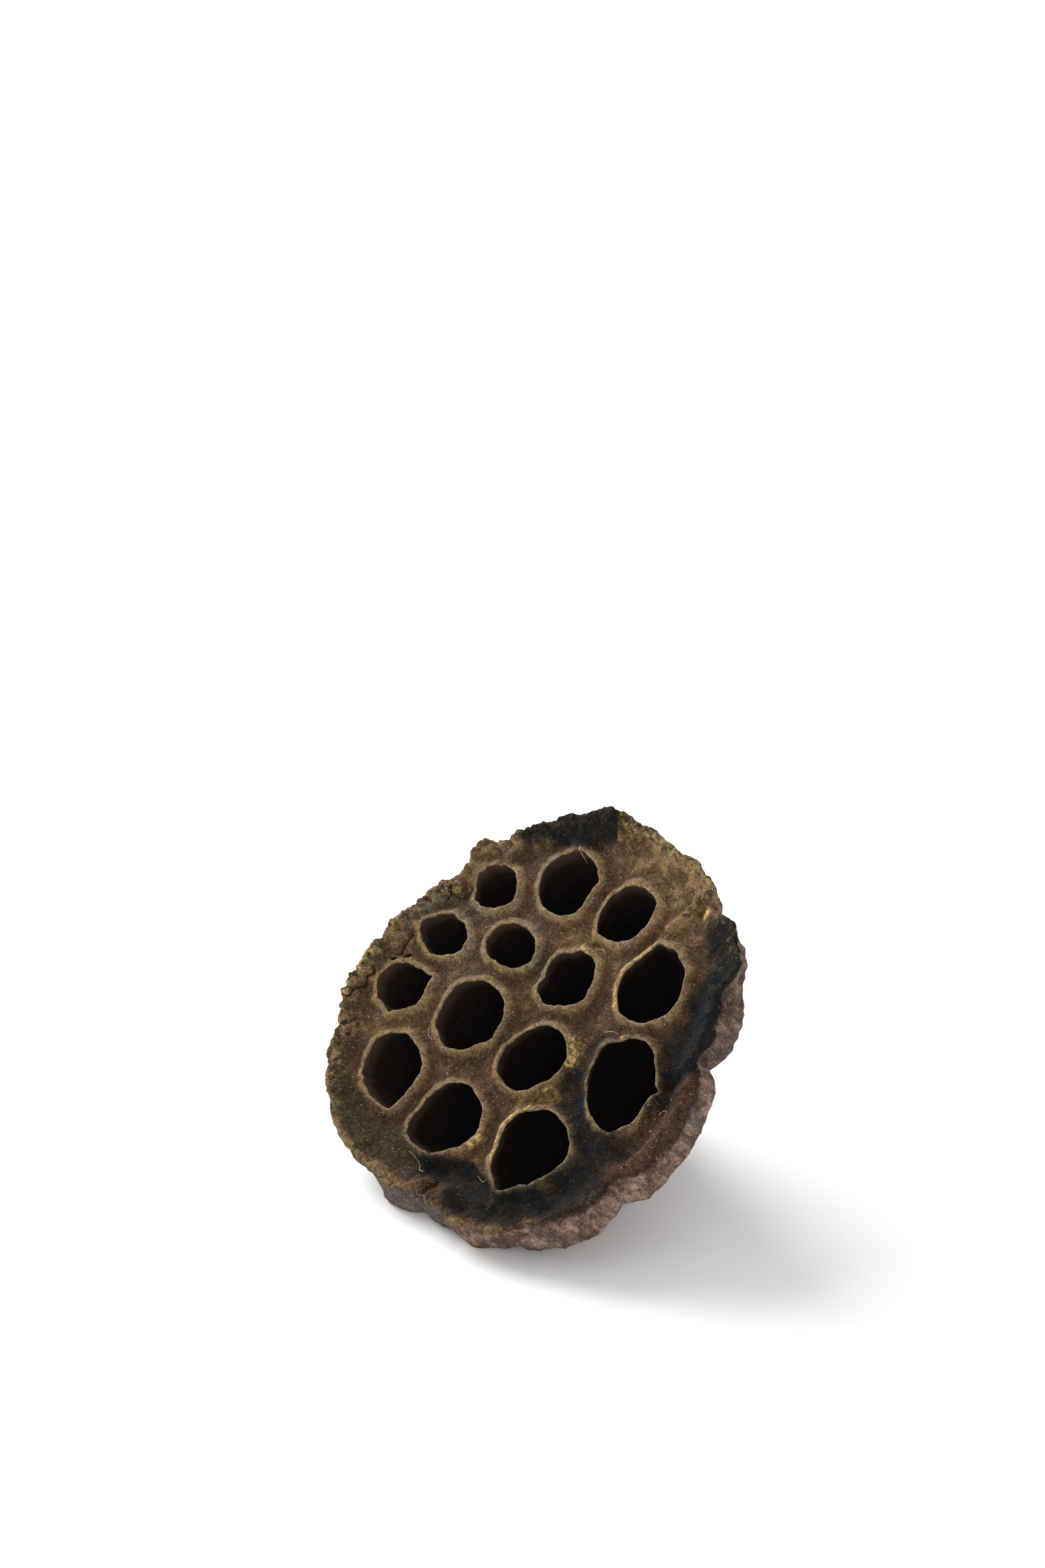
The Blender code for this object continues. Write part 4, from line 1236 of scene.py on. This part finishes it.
@dataclass
class Crumbs:
    """Crumbs of dust and of the skin's crust, which Geometry Nodes scatter where the dust mask is strong."""

    density: float = 1.3e6
    smallest: float = 0.045 * MM
    largest: float = 0.13 * MM
    narrowness: float = 0.75
    flatness: float = 0.6
    seed: int = 7

    def tree(self) -> bpy.types.NodeTree:
        """Builds the node tree that scatters them."""
        tree = bpy.data.node_groups.new("crumbs", "GeometryNodeTree")
        sockets = {"Geometry": "Geometry", "Density": "Float", "Smallest": "Float", "Largest": "Float",
                   "Flatness": "Float", "Seed": "Int", "Finish": "Material"}
        for name, kind in sockets.items():
            tree.interface.new_socket(name=name, in_out="INPUT", socket_type=f"NodeSocket{kind}")
        tree.interface.new_socket(name="Geometry", in_out="OUTPUT", socket_type="NodeSocketGeometry")
        given = tree.nodes.new("NodeGroupInput").outputs
        leave = tree.nodes.new("NodeGroupOutput").inputs["Geometry"]
        graph = Graph(tree)
        dust = graph.add("GeometryNodeInputNamedAttribute", "Attribute", {"data_type": "FLOAT"}, Name="dust")
        points = graph.add("GeometryNodeDistributePointsOnFaces", "Points", Mesh=given["Geometry"],
                           Density=graph.times(dust, given["Density"]), Seed=given["Seed"])
        more = graph.maths("SUBTRACT", given["Largest"], given["Smallest"])
        more = graph.times(self.random(graph, 1, 1), self.random(graph, 1, 2), more)
        size = graph.plus(given["Smallest"], more)
        squash = graph.add("ShaderNodeCombineXYZ", X=size, Y=graph.times(size, self.narrowness),
                           Z=graph.times(size, given["Flatness"]))
        turn = graph.add("FunctionNodeEulerToRotation", Euler=self.random(graph, math.tau, 3))
        lump = graph.add("GeometryNodeMeshIcoSphere", Radius=1.0, Subdivisions=1)
        placed = graph.add("GeometryNodeInstanceOnPoints", Points=points, Instance=lump, Rotation=turn,
                           Scale=squash)
        whole = graph.add("GeometryNodeRealizeInstances", Geometry=placed)
        graph.plug(leave, graph.add("GeometryNodeSetMaterial", Geometry=whole, Material=given["Finish"]))
        return tree

    @staticmethod
    def random(graph: Graph, most: float, seed: int) -> Socket:
        """A random value for each crumb from 0 to 1, or a random vector where the most is more than 1."""
        node = graph.tree.nodes.new("FunctionNodeRandomValue")
        vector = most > 1
        node.data_type = "FLOAT_VECTOR" if vector else "FLOAT"
        node.inputs["Seed"].default_value = seed
        if vector:
            node.inputs[1].default_value = (most, most, most)
        return node.outputs[0 if vector else 1]

    def build(self, skin: bpy.types.Object, finish: bpy.types.Material) -> bpy.types.Object:
        """Scatters them over the skin.

        Args:
            skin: the pod's skin, whose dust mask says where they gather.
            finish: their material.

        Returns:
            The crumbs, as one plain mesh.
        """
        bearer = add_object("crumbs_bearer", skin.data)
        modifier = bearer.modifiers.new("crumbs", "NODES")
        modifier.node_group = self.tree()
        values = {"Density": self.density, "Smallest": self.smallest, "Largest": self.largest,
                  "Flatness": self.flatness, "Seed": self.seed, "Finish": finish}
        for item in modifier.node_group.interface.items_tree:
            if item.in_out == "INPUT" and item.name in values:
                modifier[item.identifier] = values[item.name]
        evaluated = bearer.evaluated_get(bpy.context.evaluated_depsgraph_get())
        mesh = bpy.data.meshes.new_from_object(evaluated)
        mesh.name = "crumbs"
        bearer.modifiers.remove(modifier)
        bpy.data.objects.remove(bearer)
        mesh.shade_smooth()
        return add_object("crumbs", mesh)


class SkinGroups:
    """The node groups that the pod's materials share. Each is built once."""

    def __init__(self) -> None:
        """Builds the groups."""
        self.broken_edge = self.build_broken_edge()
        self.speckle = self.build_speckle()
        self.fibres = self.build_fibres()
        self.mottle = self.build_mottle()
        self.wrinkles = self.build_wrinkles()

    @staticmethod
    def start(
        name: str, inputs: dict[str, float | None], output: str,
    ) -> tuple[Graph, dict[str, Socket], Socket]:
        """Starts a group.

        Args:
            name: the group's name.
            inputs: each input's first value, or None for a vector.
            output: the name of its one output, a mask or a value.

        Returns:
            The graph, its inputs by name, and the socket that its output goes into.
        """
        tree = bpy.data.node_groups.new(name, "ShaderNodeTree")
        for key, first in inputs.items():
            kind = "NodeSocketVector" if first is None else "NodeSocketFloat"
            socket = tree.interface.new_socket(name=key, in_out="INPUT", socket_type=kind)
            if first is not None:
                socket.default_value = first
        tree.interface.new_socket(name=output, in_out="OUTPUT", socket_type="NodeSocketFloat")
        entry = tree.nodes.new("NodeGroupInput")
        leave = tree.nodes.new("NodeGroupOutput")
        return Graph(tree), {key: entry.outputs[key] for key in inputs}, leave.inputs[output]

    def build_broken_edge(self) -> bpy.types.NodeTree:
        """A mask whose soft edge is broken up by grain, as a stain or a crust has it."""
        first = {"Vector": None, "Mask": 0.0, "Per Metre": 400.0, "Softness": 0.25}
        graph, given, leave = self.start("broken_edge", first, "Mask")
        rough = graph.grain(given["Vector"], given["Per Metre"], 5.0, 0.62)
        lifted = graph.plus(given["Mask"], graph.times(graph.maths("SUBTRACT", rough, 0.5), 1.5))
        low = graph.maths("SUBTRACT", 0.5, given["Softness"])
        eased = graph.ease(lifted, low, graph.plus(0.5, given["Softness"]))
        graph.plug(leave, graph.times(eased, graph.ease(given["Mask"], 0.0, 0.12)))
        return graph.tree

    def build_speckle(self) -> bpy.types.NodeTree:
        """Fine specks of dust, gathered in drifts: a dot in some cells of a Voronoi pattern."""
        first = {"Vector": None, "Per Metre": 900.0, "Size": 0.2, "Amount": 0.3}
        graph, given, leave = self.start("speckle", first, "Mask")
        distance = graph.add("ShaderNodeTexVoronoi", "Distance", {"feature": "F1"}, Vector=given["Vector"],
                             Scale=given["Per Metre"])
        split = graph.add("ShaderNodeSeparateColor", Color=distance.node.outputs["Color"]).node
        drift = graph.ease(graph.grain(given["Vector"], 160.0, 2.0), 0.35, 0.7, 0.2, 1.8)
        chosen = graph.maths("LESS_THAN", split.outputs[0], graph.times(given["Amount"], drift))
        reach = graph.times(given["Size"], graph.plus(split.outputs[1], 0.4))
        dot = graph.maths("SUBTRACT", 1.0, graph.maths("DIVIDE", distance, reach), clamp=True)
        graph.plug(leave, graph.times(chosen, graph.ease(dot, 0.0, 0.5)))
        return graph.tree

    def build_fibres(self) -> bpy.types.NodeTree:
        """Streaks that run along the growth axis, from 0 to 1."""
        first = {"Vector": None, "Per Metre": 900.0, "Stretch": 0.1}
        graph, given, leave = self.start("fibres", first, "Mask")
        axis = graph.add("ShaderNodeSeparateXYZ", Vector=given["Vector"]).node.outputs
        along = graph.times(axis[2], given["Stretch"])
        joined = graph.add("ShaderNodeCombineXYZ", X=axis[0], Y=axis[1], Z=along)
        graph.plug(leave, graph.grain(joined, given["Per Metre"], 3.0, 0.6))
        return graph.tree

    def build_mottle(self) -> bpy.types.NodeTree:
        """How light a dried surface is from spot to spot, about 1 in the mean."""
        first = {"Vector": None, "Per Metre": 700.0, "Contrast": 0.4}
        graph, given, leave = self.start("mottle", first, "Lightness")
        coarse = graph.grain(given["Vector"], given["Per Metre"], 2.0, 0.5)
        fine = graph.grain(given["Vector"], graph.times(given["Per Metre"], 3.1), 3.0, 0.6)
        both = graph.plus(graph.times(graph.maths("SUBTRACT", coarse, 0.5), 2.2),
                          graph.times(graph.maths("SUBTRACT", fine, 0.5), 2.0))
        graph.plug(leave, graph.plus(1.0, graph.times(both, given["Contrast"])))
        return graph.tree

    def build_wrinkles(self) -> bpy.types.NodeTree:
        """A net of fine creases, 0 along them and 1 on the skin between."""
        first = {"Vector": None, "Per Metre": 450.0, "Width": 0.12}
        graph, given, leave = self.start("wrinkles", first, "Height")
        nets = []
        for per_metre, share in ((given["Per Metre"], 0.6), (graph.times(given["Per Metre"], 2.3), 0.4)):
            off = graph.maths("SUBTRACT", graph.grain(given["Vector"], per_metre, 2.0), 0.5)
            net = graph.maths("DIVIDE", graph.maths("ABSOLUTE", off), given["Width"], clamp=True)
            nets.append(graph.times(net, share))
        graph.plug(leave, graph.plus(*nets))
        return graph.tree


@dataclass(frozen=True)
class SkinTones:
    """The colours of the dried skin, as linear values."""

    warm: Colour = (0.172, 0.092, 0.035)
    cool: Colour = (0.122, 0.082, 0.042)
    # Dark brown: random dark spots, darker skin in the valleys, and painted shade there and in hollows.
    valley_dark_and_shade: Colour = (0.056, 0.033, 0.018)
    # Pale brown: random pale spots, the light tint, and a painted highlight with paler skin on ridges.
    high: Colour = (0.242, 0.160, 0.074)
    slope: Colour = (0.145, 0.098, 0.048)
    lip: Colour = (0.235, 0.180, 0.110)
    gold: Colour = (0.560, 0.380, 0.135)
    crust: Colour = (0.270, 0.185, 0.085)
    # Dark gaps in the crust, and painted shade where the crust lies in hollows.
    crust_gap_and_shade: Colour = (0.034, 0.024, 0.015)
    stain: Colour = (0.0100, 0.0098, 0.0095)
    grey: Colour = (0.135, 0.122, 0.092)
    olive: Colour = (0.046, 0.033, 0.016)
    mottle: Colour = (0.020, 0.016, 0.011)
    russet: Colour = (0.058, 0.024, 0.016)
    deep: Colour = (0.032, 0.019, 0.013)
    mauve: Colour = (0.100, 0.080, 0.080)
    wall_red: Colour = (0.050, 0.028, 0.021)
    wall_dark: Colour = (0.112, 0.072, 0.053)
    wall_light: Colour = (0.310, 0.212, 0.155)
    dust: Colour = (0.60, 0.50, 0.34)
    crack: Colour = (0.008, 0.006, 0.005)
    # Painted shade inside the chambers: dark brown at their mouths, near black deeper down.
    chamber_shade: Colour = (0.010, 0.0075, 0.006)
    chamber_mouth_shade: Colour = (0.058, 0.034, 0.022)
    pith: Colour = (0.230, 0.165, 0.100)


class SkinPatterns:
    """The patterns of one material that several of its colours use."""

    def __init__(self, graph: Graph, groups: SkinGroups, lying_turn: float) -> None:
        """Builds them.

        Args:
            graph: the material's graph.
            groups: the shared node groups.
            lying_turn: how far the pod is turned about X as it lies, so that patterns follow its growth.
        """
        self.graph = graph
        self.groups = groups
        place = graph.add("ShaderNodeTexCoord", "Object")
        self.grown = graph.add("ShaderNodeMapping", 0, {"vector_type": "POINT"}, Vector=place,
                               Rotation=(-lying_turn, 0.0, 0.0))

    def group(self, tree: bpy.types.NodeTree, **inputs: object) -> Socket:
        """One of the shared groups, read at the pod's own places."""
        return self.graph.add("ShaderNodeGroup", 0, {"node_tree": tree}, Vector=self.grown, **inputs)

    def tint(self, name: str, per_metre: float, softness: float) -> Socket:
        """One of the painted masks, with its edge broken up."""
        mask = self.graph.mask(name)
        return self.group(self.groups.broken_edge, Mask=mask, Per_Metre=per_metre, Softness=softness)

    def dots(self, per_metre: float, size: float, amount: object) -> Socket:
        """Specks of dust."""
        return self.group(self.groups.speckle, Per_Metre=per_metre, Size=size, Amount=amount)

    def streaks(self, per_metre: float, stretch: float) -> Socket:
        """Fibres along the growth axis."""
        return self.group(self.groups.fibres, Per_Metre=per_metre, Stretch=stretch)

    def mottle(self, per_metre: float, contrast: float) -> Socket:
        """How light the surface is from spot to spot."""
        return self.group(self.groups.mottle, Per_Metre=per_metre, Contrast=contrast)

    def wrinkles(self, per_metre: float, width: float) -> Socket:
        """A net of fine creases."""
        return self.group(self.groups.wrinkles, Per_Metre=per_metre, Width=width)


@dataclass(frozen=True)
class DriedSkin:
    """The finish of the pod's whole outside: leathery skin, pale lips, crusted rim, stains, and dust, with
    painted shade in hollows and chambers and painted highlight on ridges.
    """

    tones: SkinTones = SkinTones()
    roughness: float = 0.8
    roughness_range: float = 0.12
    shine: float = 0.08
    grain_depth: float = 0.28 * MM

    def face_colour(self, patterns: SkinPatterns, hollow: Socket, ridge_pale_and_highlight: Socket) -> Socket:
        """The skin between the seats, its lips and its crusts, with painted shade in hollows and painted
        highlight on ridges.
        """
        graph, tones, tint = patterns.graph, self.tones, patterns.tint
        patch = graph.grain(patterns.grown, 150.0, 4.0)
        spot = graph.grain(patterns.grown, 330.0, 6.0, 0.62)
        edge = graph.grain(patterns.grown, 750.0, 6.0, 0.72)
        dark = graph.maths("MAXIMUM", graph.mask("deep"), graph.mask("stain"))
        clear = graph.ease(dark, 0.1, 0.6, 1.0, 0.2)
        # 1 outside hollows and 0.3 in them: painted shade darkens the crust there and keeps the gold out.
        gap = graph.ease(hollow, 0.1, 0.6, 1.0, 0.3)
        grit = graph.ease(edge, 0.42, 0.58, 0.1, 1.0)
        crust = graph.mix(graph.times(graph.ease(edge, 0.4, 0.62), gap), tones.crust_gap_and_shade, tones.crust)
        return graph.layered(
            graph.mix(graph.ease(patch, 0.38, 0.62), tones.cool, tones.warm),
            (graph.ease(spot, 0.48, 0.7, 0.0, 0.5), tones.high),
            (graph.ease(spot, 0.32, 0.48, 0.6, 0.0), tones.valley_dark_and_shade),
            (tint("grey", 350.0, 0.45), tones.grey),
            # Painted shade with darker skin in the broad valleys between the lips.
            (graph.times(graph.mask("valley_dark_and_shade"), 0.6), tones.valley_dark_and_shade),
            (tint("deep", 300.0, 0.4), tones.deep),
            (tint("russet", 350.0, 0.45), tones.russet),
            (graph.times(graph.mask("light"), graph.ease(spot, 0.3, 0.6, 0.2, 0.8)), tones.high),
            # Painted shade with darker skin in small hollows.
            (graph.times(hollow, 0.6), tones.valley_dark_and_shade),
            (graph.times(graph.mask("slope"), graph.ease(spot, 0.35, 0.65, 0.05, 0.55)), tones.slope),
            # Painted highlight with paler dusty skin on ridges.
            (graph.times(ridge_pale_and_highlight, graph.ease(edge, 0.3, 0.6, 0.15, 0.65), clear), tones.high),
            (tint("stain", 200.0, 0.4), tones.stain),
            (tint("mottle", 700.0, 0.2), tones.mottle),
            (tint("olive", 700.0, 0.2), tones.olive),
            (graph.times(graph.mask("rim"), graph.ease(spot, 0.35, 0.6, 0.0, 0.9), clear), crust),
            (graph.times(tint("crust", 650.0, 0.3), 0.9), crust),
            (graph.times(tint("gold", 800.0, 0.3), gap, grit), tones.gold),
            (graph.times(graph.mask("lip"), graph.ease(edge, 0.34, 0.6, 0.1, 0.8)), tones.lip),
        )

    def wall_colour(self, patterns: SkinPatterns, hollow: Socket, run: Socket) -> Socket:
        """The outer wall: pinkish beige with reddish and mauve patches and painted shade in its hollows,
        darker towards the stem.
        """
        graph, tones = patterns.graph, self.tones
        broad = graph.grain(patterns.grown, 130.0, 5.0)
        soft = graph.grain(patterns.grown, 300.0, 5.0, 0.6)
        red = graph.grain(patterns.grown, 210.0, 5.0, 0.6)
        streaks = patterns.streaks(420.0, 0.22)
        light = graph.plus(graph.times(soft, 0.3), graph.times(run, 0.25), graph.times(streaks, 0.45))
        return graph.layered(
            graph.mix(graph.ease(light, 0.42, 0.62), tones.wall_dark, tones.wall_light),
            (graph.ease(red, 0.5, 0.68, 0.0, 0.6), tones.wall_red),
            (graph.ease(broad, 0.47, 0.65, 0.0, 0.55), tones.mauve),
            (graph.times(graph.mask("mauve"), 0.75), tones.mauve),
            # Painted shade with darker skin in the wall's hollows.
            (graph.times(hollow, 0.7), tones.wall_red),
            (graph.times(graph.mask("shade"), 0.7), tones.wall_dark),
        )

    def make(self, groups: SkinGroups, lying_turn: float) -> bpy.types.Material:
        """Builds the material.

        Args:
            groups: the shared node groups.
            lying_turn: how far the pod is turned about X as it lies.

        Returns:
            The material.
        """
        tones = self.tones
        material, graph, shader = start_material("dried_skin")
        patterns = SkinPatterns(graph, groups, lying_turn)
        hollow, ridge_pale_and_highlight, inside = graph.mask("hollow"), graph.mask("ridge_pale_and_highlight"), graph.mask("chamber")
        run = patterns.streaks(1100.0, 0.12)
        outside = patterns.tint("wall", 500.0, 0.4)
        face, wall = self.face_colour(patterns, hollow, ridge_pale_and_highlight), self.wall_colour(patterns, hollow, run)
        colour = graph.mix(outside, face, wall)
        colour = graph.mix(graph.times(graph.mask("cut"), 0.9), colour, tones.pith)
        net = patterns.wrinkles(420.0, 0.11)
        lightness = graph.times(patterns.mottle(1900.0, 0.7), graph.ease(net, 0.0, 0.8, 0.62, 1.08))
        grey = graph.add("ShaderNodeCombineColor", Red=lightness, Green=lightness, Blue=lightness)
        colour = graph.mix(1.0, colour, grey, "MULTIPLY")
        # Painted shade inside the chambers, darker the deeper it goes.
        chamber_shade = graph.mix(graph.ease(inside, 0.1, 0.42), tones.chamber_mouth_shade, tones.chamber_shade)
        dust = self.dust(patterns, inside)
        colour = graph.layered(
            colour,
            (graph.ease(inside, 0.0, 0.1), chamber_shade),
            (graph.maths("MAXIMUM", graph.mask("crack"), graph.mask("canal")), tones.crack),
            (graph.times(dust, 0.8), tones.dust),
        )
        graph.plug(shader.inputs["Base Color"], colour)
        worn = graph.grain(patterns.grown, 420.0, 5.0, 0.6)
        least, most = self.roughness - self.roughness_range, self.roughness + self.roughness_range
        graph.plug(shader.inputs["Roughness"], graph.ease(worn, 0.3, 0.7, least, most))
        shader.inputs["Specular IOR Level"].default_value = self.shine
        graph.plug(shader.inputs["Normal"], self.relief(patterns, run, outside, dust, net))
        return material

    @staticmethod
    def dust(patterns: SkinPatterns, inside: Socket) -> Socket:
        """Fine pale specks, thicker on the lips and the rim, and a few larger motes."""
        graph = patterns.graph
        edges = graph.maths("MAXIMUM", graph.mask("slope"), graph.mask("rim"))
        specks = patterns.dots(3000.0, 0.36, graph.ease(edges, 0.0, 1.0, 0.09, 0.3))
        motes = patterns.dots(1100.0, 0.16, 0.03)
        open_air = graph.ease(inside, 0.0, 0.1, 1.0, 0.0)
        shown = graph.times(open_air, graph.ease(graph.mask("stain"), 0.1, 0.7, 1.0, 0.35))
        return graph.times(graph.maths("MAXIMUM", specks, motes), shown)

    def relief(
        self, patterns: SkinPatterns, run: Socket, outside: Socket, dust: Socket, net: Socket,
    ) -> Socket:
        """The fine grain, the creases, the wall's fibres and the specks as a bump."""
        graph = patterns.graph
        height = graph.plus(
            graph.times(graph.grain(patterns.grown, 800.0, 5.0, 0.62), 2.0),
            graph.times(net, 0.9),
            graph.grain(patterns.grown, 2600.0, 3.0, 0.6),
            graph.times(dust, 0.5),
            graph.times(run, outside, 0.9),
        )
        return graph.add("ShaderNodeBump", "Normal", Strength=1.0, Distance=self.grain_depth, Height=height)


@dataclass(frozen=True)
class PaleBits:
    """The finish of the crumbs or of the litter: a matt straw colour that varies from bit to bit."""

    name: str
    dark: Colour
    light: Colour
    per_metre: float
    roughness: float = 0.85
    shine: float = 0.15
    grain_depth: float = 0.03 * MM

    def make(self, groups: SkinGroups, lying_turn: float) -> bpy.types.Material:
        """Builds the material.

        Args:
            groups: the shared node groups.
            lying_turn: how far the pod is turned about X as it lies.

        Returns:
            The material.
        """
        material, graph, shader = start_material(self.name)
        patterns = SkinPatterns(graph, groups, lying_turn)
        lightness = patterns.mottle(self.per_metre, 0.8)
        colour = graph.mix(graph.ease(lightness, 0.7, 1.3), self.dark, self.light)
        graph.plug(shader.inputs["Base Color"], colour)
        shader.inputs["Roughness"].default_value = self.roughness
        shader.inputs["Specular IOR Level"].default_value = self.shine
        fine = graph.grain(patterns.grown, 6000.0, 2.0)
        bumped = graph.add("ShaderNodeBump", "Normal", Strength=0.5, Distance=self.grain_depth, Height=fine)
        graph.plug(shader.inputs["Normal"], bumped)
        return material


CRUMB_FINISH = PaleBits("crumbs", (0.12, 0.085, 0.045), (0.62, 0.52, 0.34), 3000.0)
FIBRE_FINISH = PaleBits("fibre", (0.30, 0.22, 0.12), (0.66, 0.56, 0.38), 900.0)


@dataclass
class Studio:
    """The pale floor, the camera, and the soft lights: each one's name, place, size and power in watts."""

    frame_width: int = 1568
    frame_height: int = 2352
    shown_at: tuple[int, int] = (806, 1540)
    shown_point: tuple[float, float, float] = (0.00346, -0.00389, 0.03592)
    azimuth: float = math.radians(43.5)
    elevation: float = math.radians(28.8)
    distance: float = 0.70
    lens: float = 80.4
    sensor: float = 36.0
    floor_size: float = 6.0
    floor_colour: Colour = (0.92, 0.92, 0.92)
    floor_roughness: float = 0.9
    sky: float = 0.72
    lights: tuple[tuple[str, tuple[float, float, float], float, float], ...] = (
        ("key", (-0.85, 0.0, 0.65), 0.9, 17.5),
        ("fill", (0.9, -0.7, 0.4), 0.9, 5.0),
    )

    def place_camera(self) -> None:
        """Puts the camera where the photograph was taken, level, with the pod where it shows it."""
        focal = self.lens / self.sensor * self.frame_height
        right = self.shown_at[0] - self.frame_width / 2
        down = self.shown_at[1] - self.frame_height / 2
        back = Vector((
            math.sin(self.azimuth) * math.cos(self.elevation),
            -math.cos(self.azimuth) * math.cos(self.elevation),
            math.sin(self.elevation),
        ))
        length = math.sqrt(focal**2 + right**2 + down**2)
        aside = math.asin(right / length / math.cos(self.elevation))
        dip = math.atan2(math.sin(self.elevation), math.cos(self.elevation) * math.cos(aside))
        data = bpy.data.cameras.new("camera")
        data.sensor_fit = "VERTICAL"
        data.sensor_height = self.sensor
        data.lens = self.lens
        data.clip_start = 0.01
        camera = add_object("camera", data)
        camera.location = Vector(self.shown_point) + back * self.distance
        camera.rotation_euler = (math.pi / 2 - dip + math.atan2(down, focal), 0, self.azimuth + aside)
        bpy.context.scene.camera = camera

    def lay_floor(self) -> None:
        """A wide pale floor under the pod."""
        half = self.floor_size / 2
        mesh = bpy.data.meshes.new("floor")
        corners = [(-half, -half, 0), (half, -half, 0), (half, half, 0), (-half, half, 0)]
        mesh.from_pydata(corners, [], [(0, 1, 2, 3)])
        floor = add_object("floor", mesh)
        material, _, shader = start_material("floor")
        shader.inputs["Base Color"].default_value = (*self.floor_colour, 1)
        shader.inputs["Roughness"].default_value = self.floor_roughness
        mesh.materials.append(material)

    def add_light(self, name: str, place: tuple[float, float, float], size: float, watts: float) -> None:
        """A square soft light that looks at the pod."""
        data = bpy.data.lights.new(name, "AREA")
        data.size = size
        data.energy = watts
        light = add_object(name, data)
        light.location = place
        aim = Vector(self.shown_point) - Vector(place)
        light.rotation_euler = aim.to_track_quat("-Z", "Y").to_euler()

    def build(self) -> None:
        """Makes the whole studio."""
        self.place_camera()
        self.lay_floor()
        for light in self.lights:
            self.add_light(*light)
        world = bpy.context.scene.world or bpy.data.worlds.new("world")
        bpy.context.scene.world = world
        world.use_nodes = True
        background = world.node_tree.nodes["Background"]
        background.inputs["Color"].default_value = (1, 1, 1, 1)
        background.inputs["Strength"].default_value = self.sky
        bpy.context.scene.view_settings.view_transform = "Standard"


def dress(piece: bpy.types.Object) -> None:
    """Makes a piece ride with the pod, and logs how many faces it has."""
    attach(piece, "root")
    log.info("%s has %d faces", piece.name, len(piece.data.polygons))


def main() -> None:
    """Builds the pod and its studio."""
    logging.basicConfig(level=logging.INFO, format="%(name)s: %(message)s")
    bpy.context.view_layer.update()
    pod = PodSkin()
    groups = SkinGroups()
    skin = pod.build()
    skin.data.materials.append(DriedSkin().make(groups, pod.lying_turn))
    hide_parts("receptacle")
    dress(skin)
    dress(Crumbs().build(skin, CRUMB_FINISH.make(groups, pod.lying_turn)))
    litter = Litter().build(skin, pod.lay_down)
    litter.data.materials.append(FIBRE_FINISH.make(groups, pod.lying_turn))
    dress(litter)
    Studio().build()


if __name__ == "__main__":
    main()
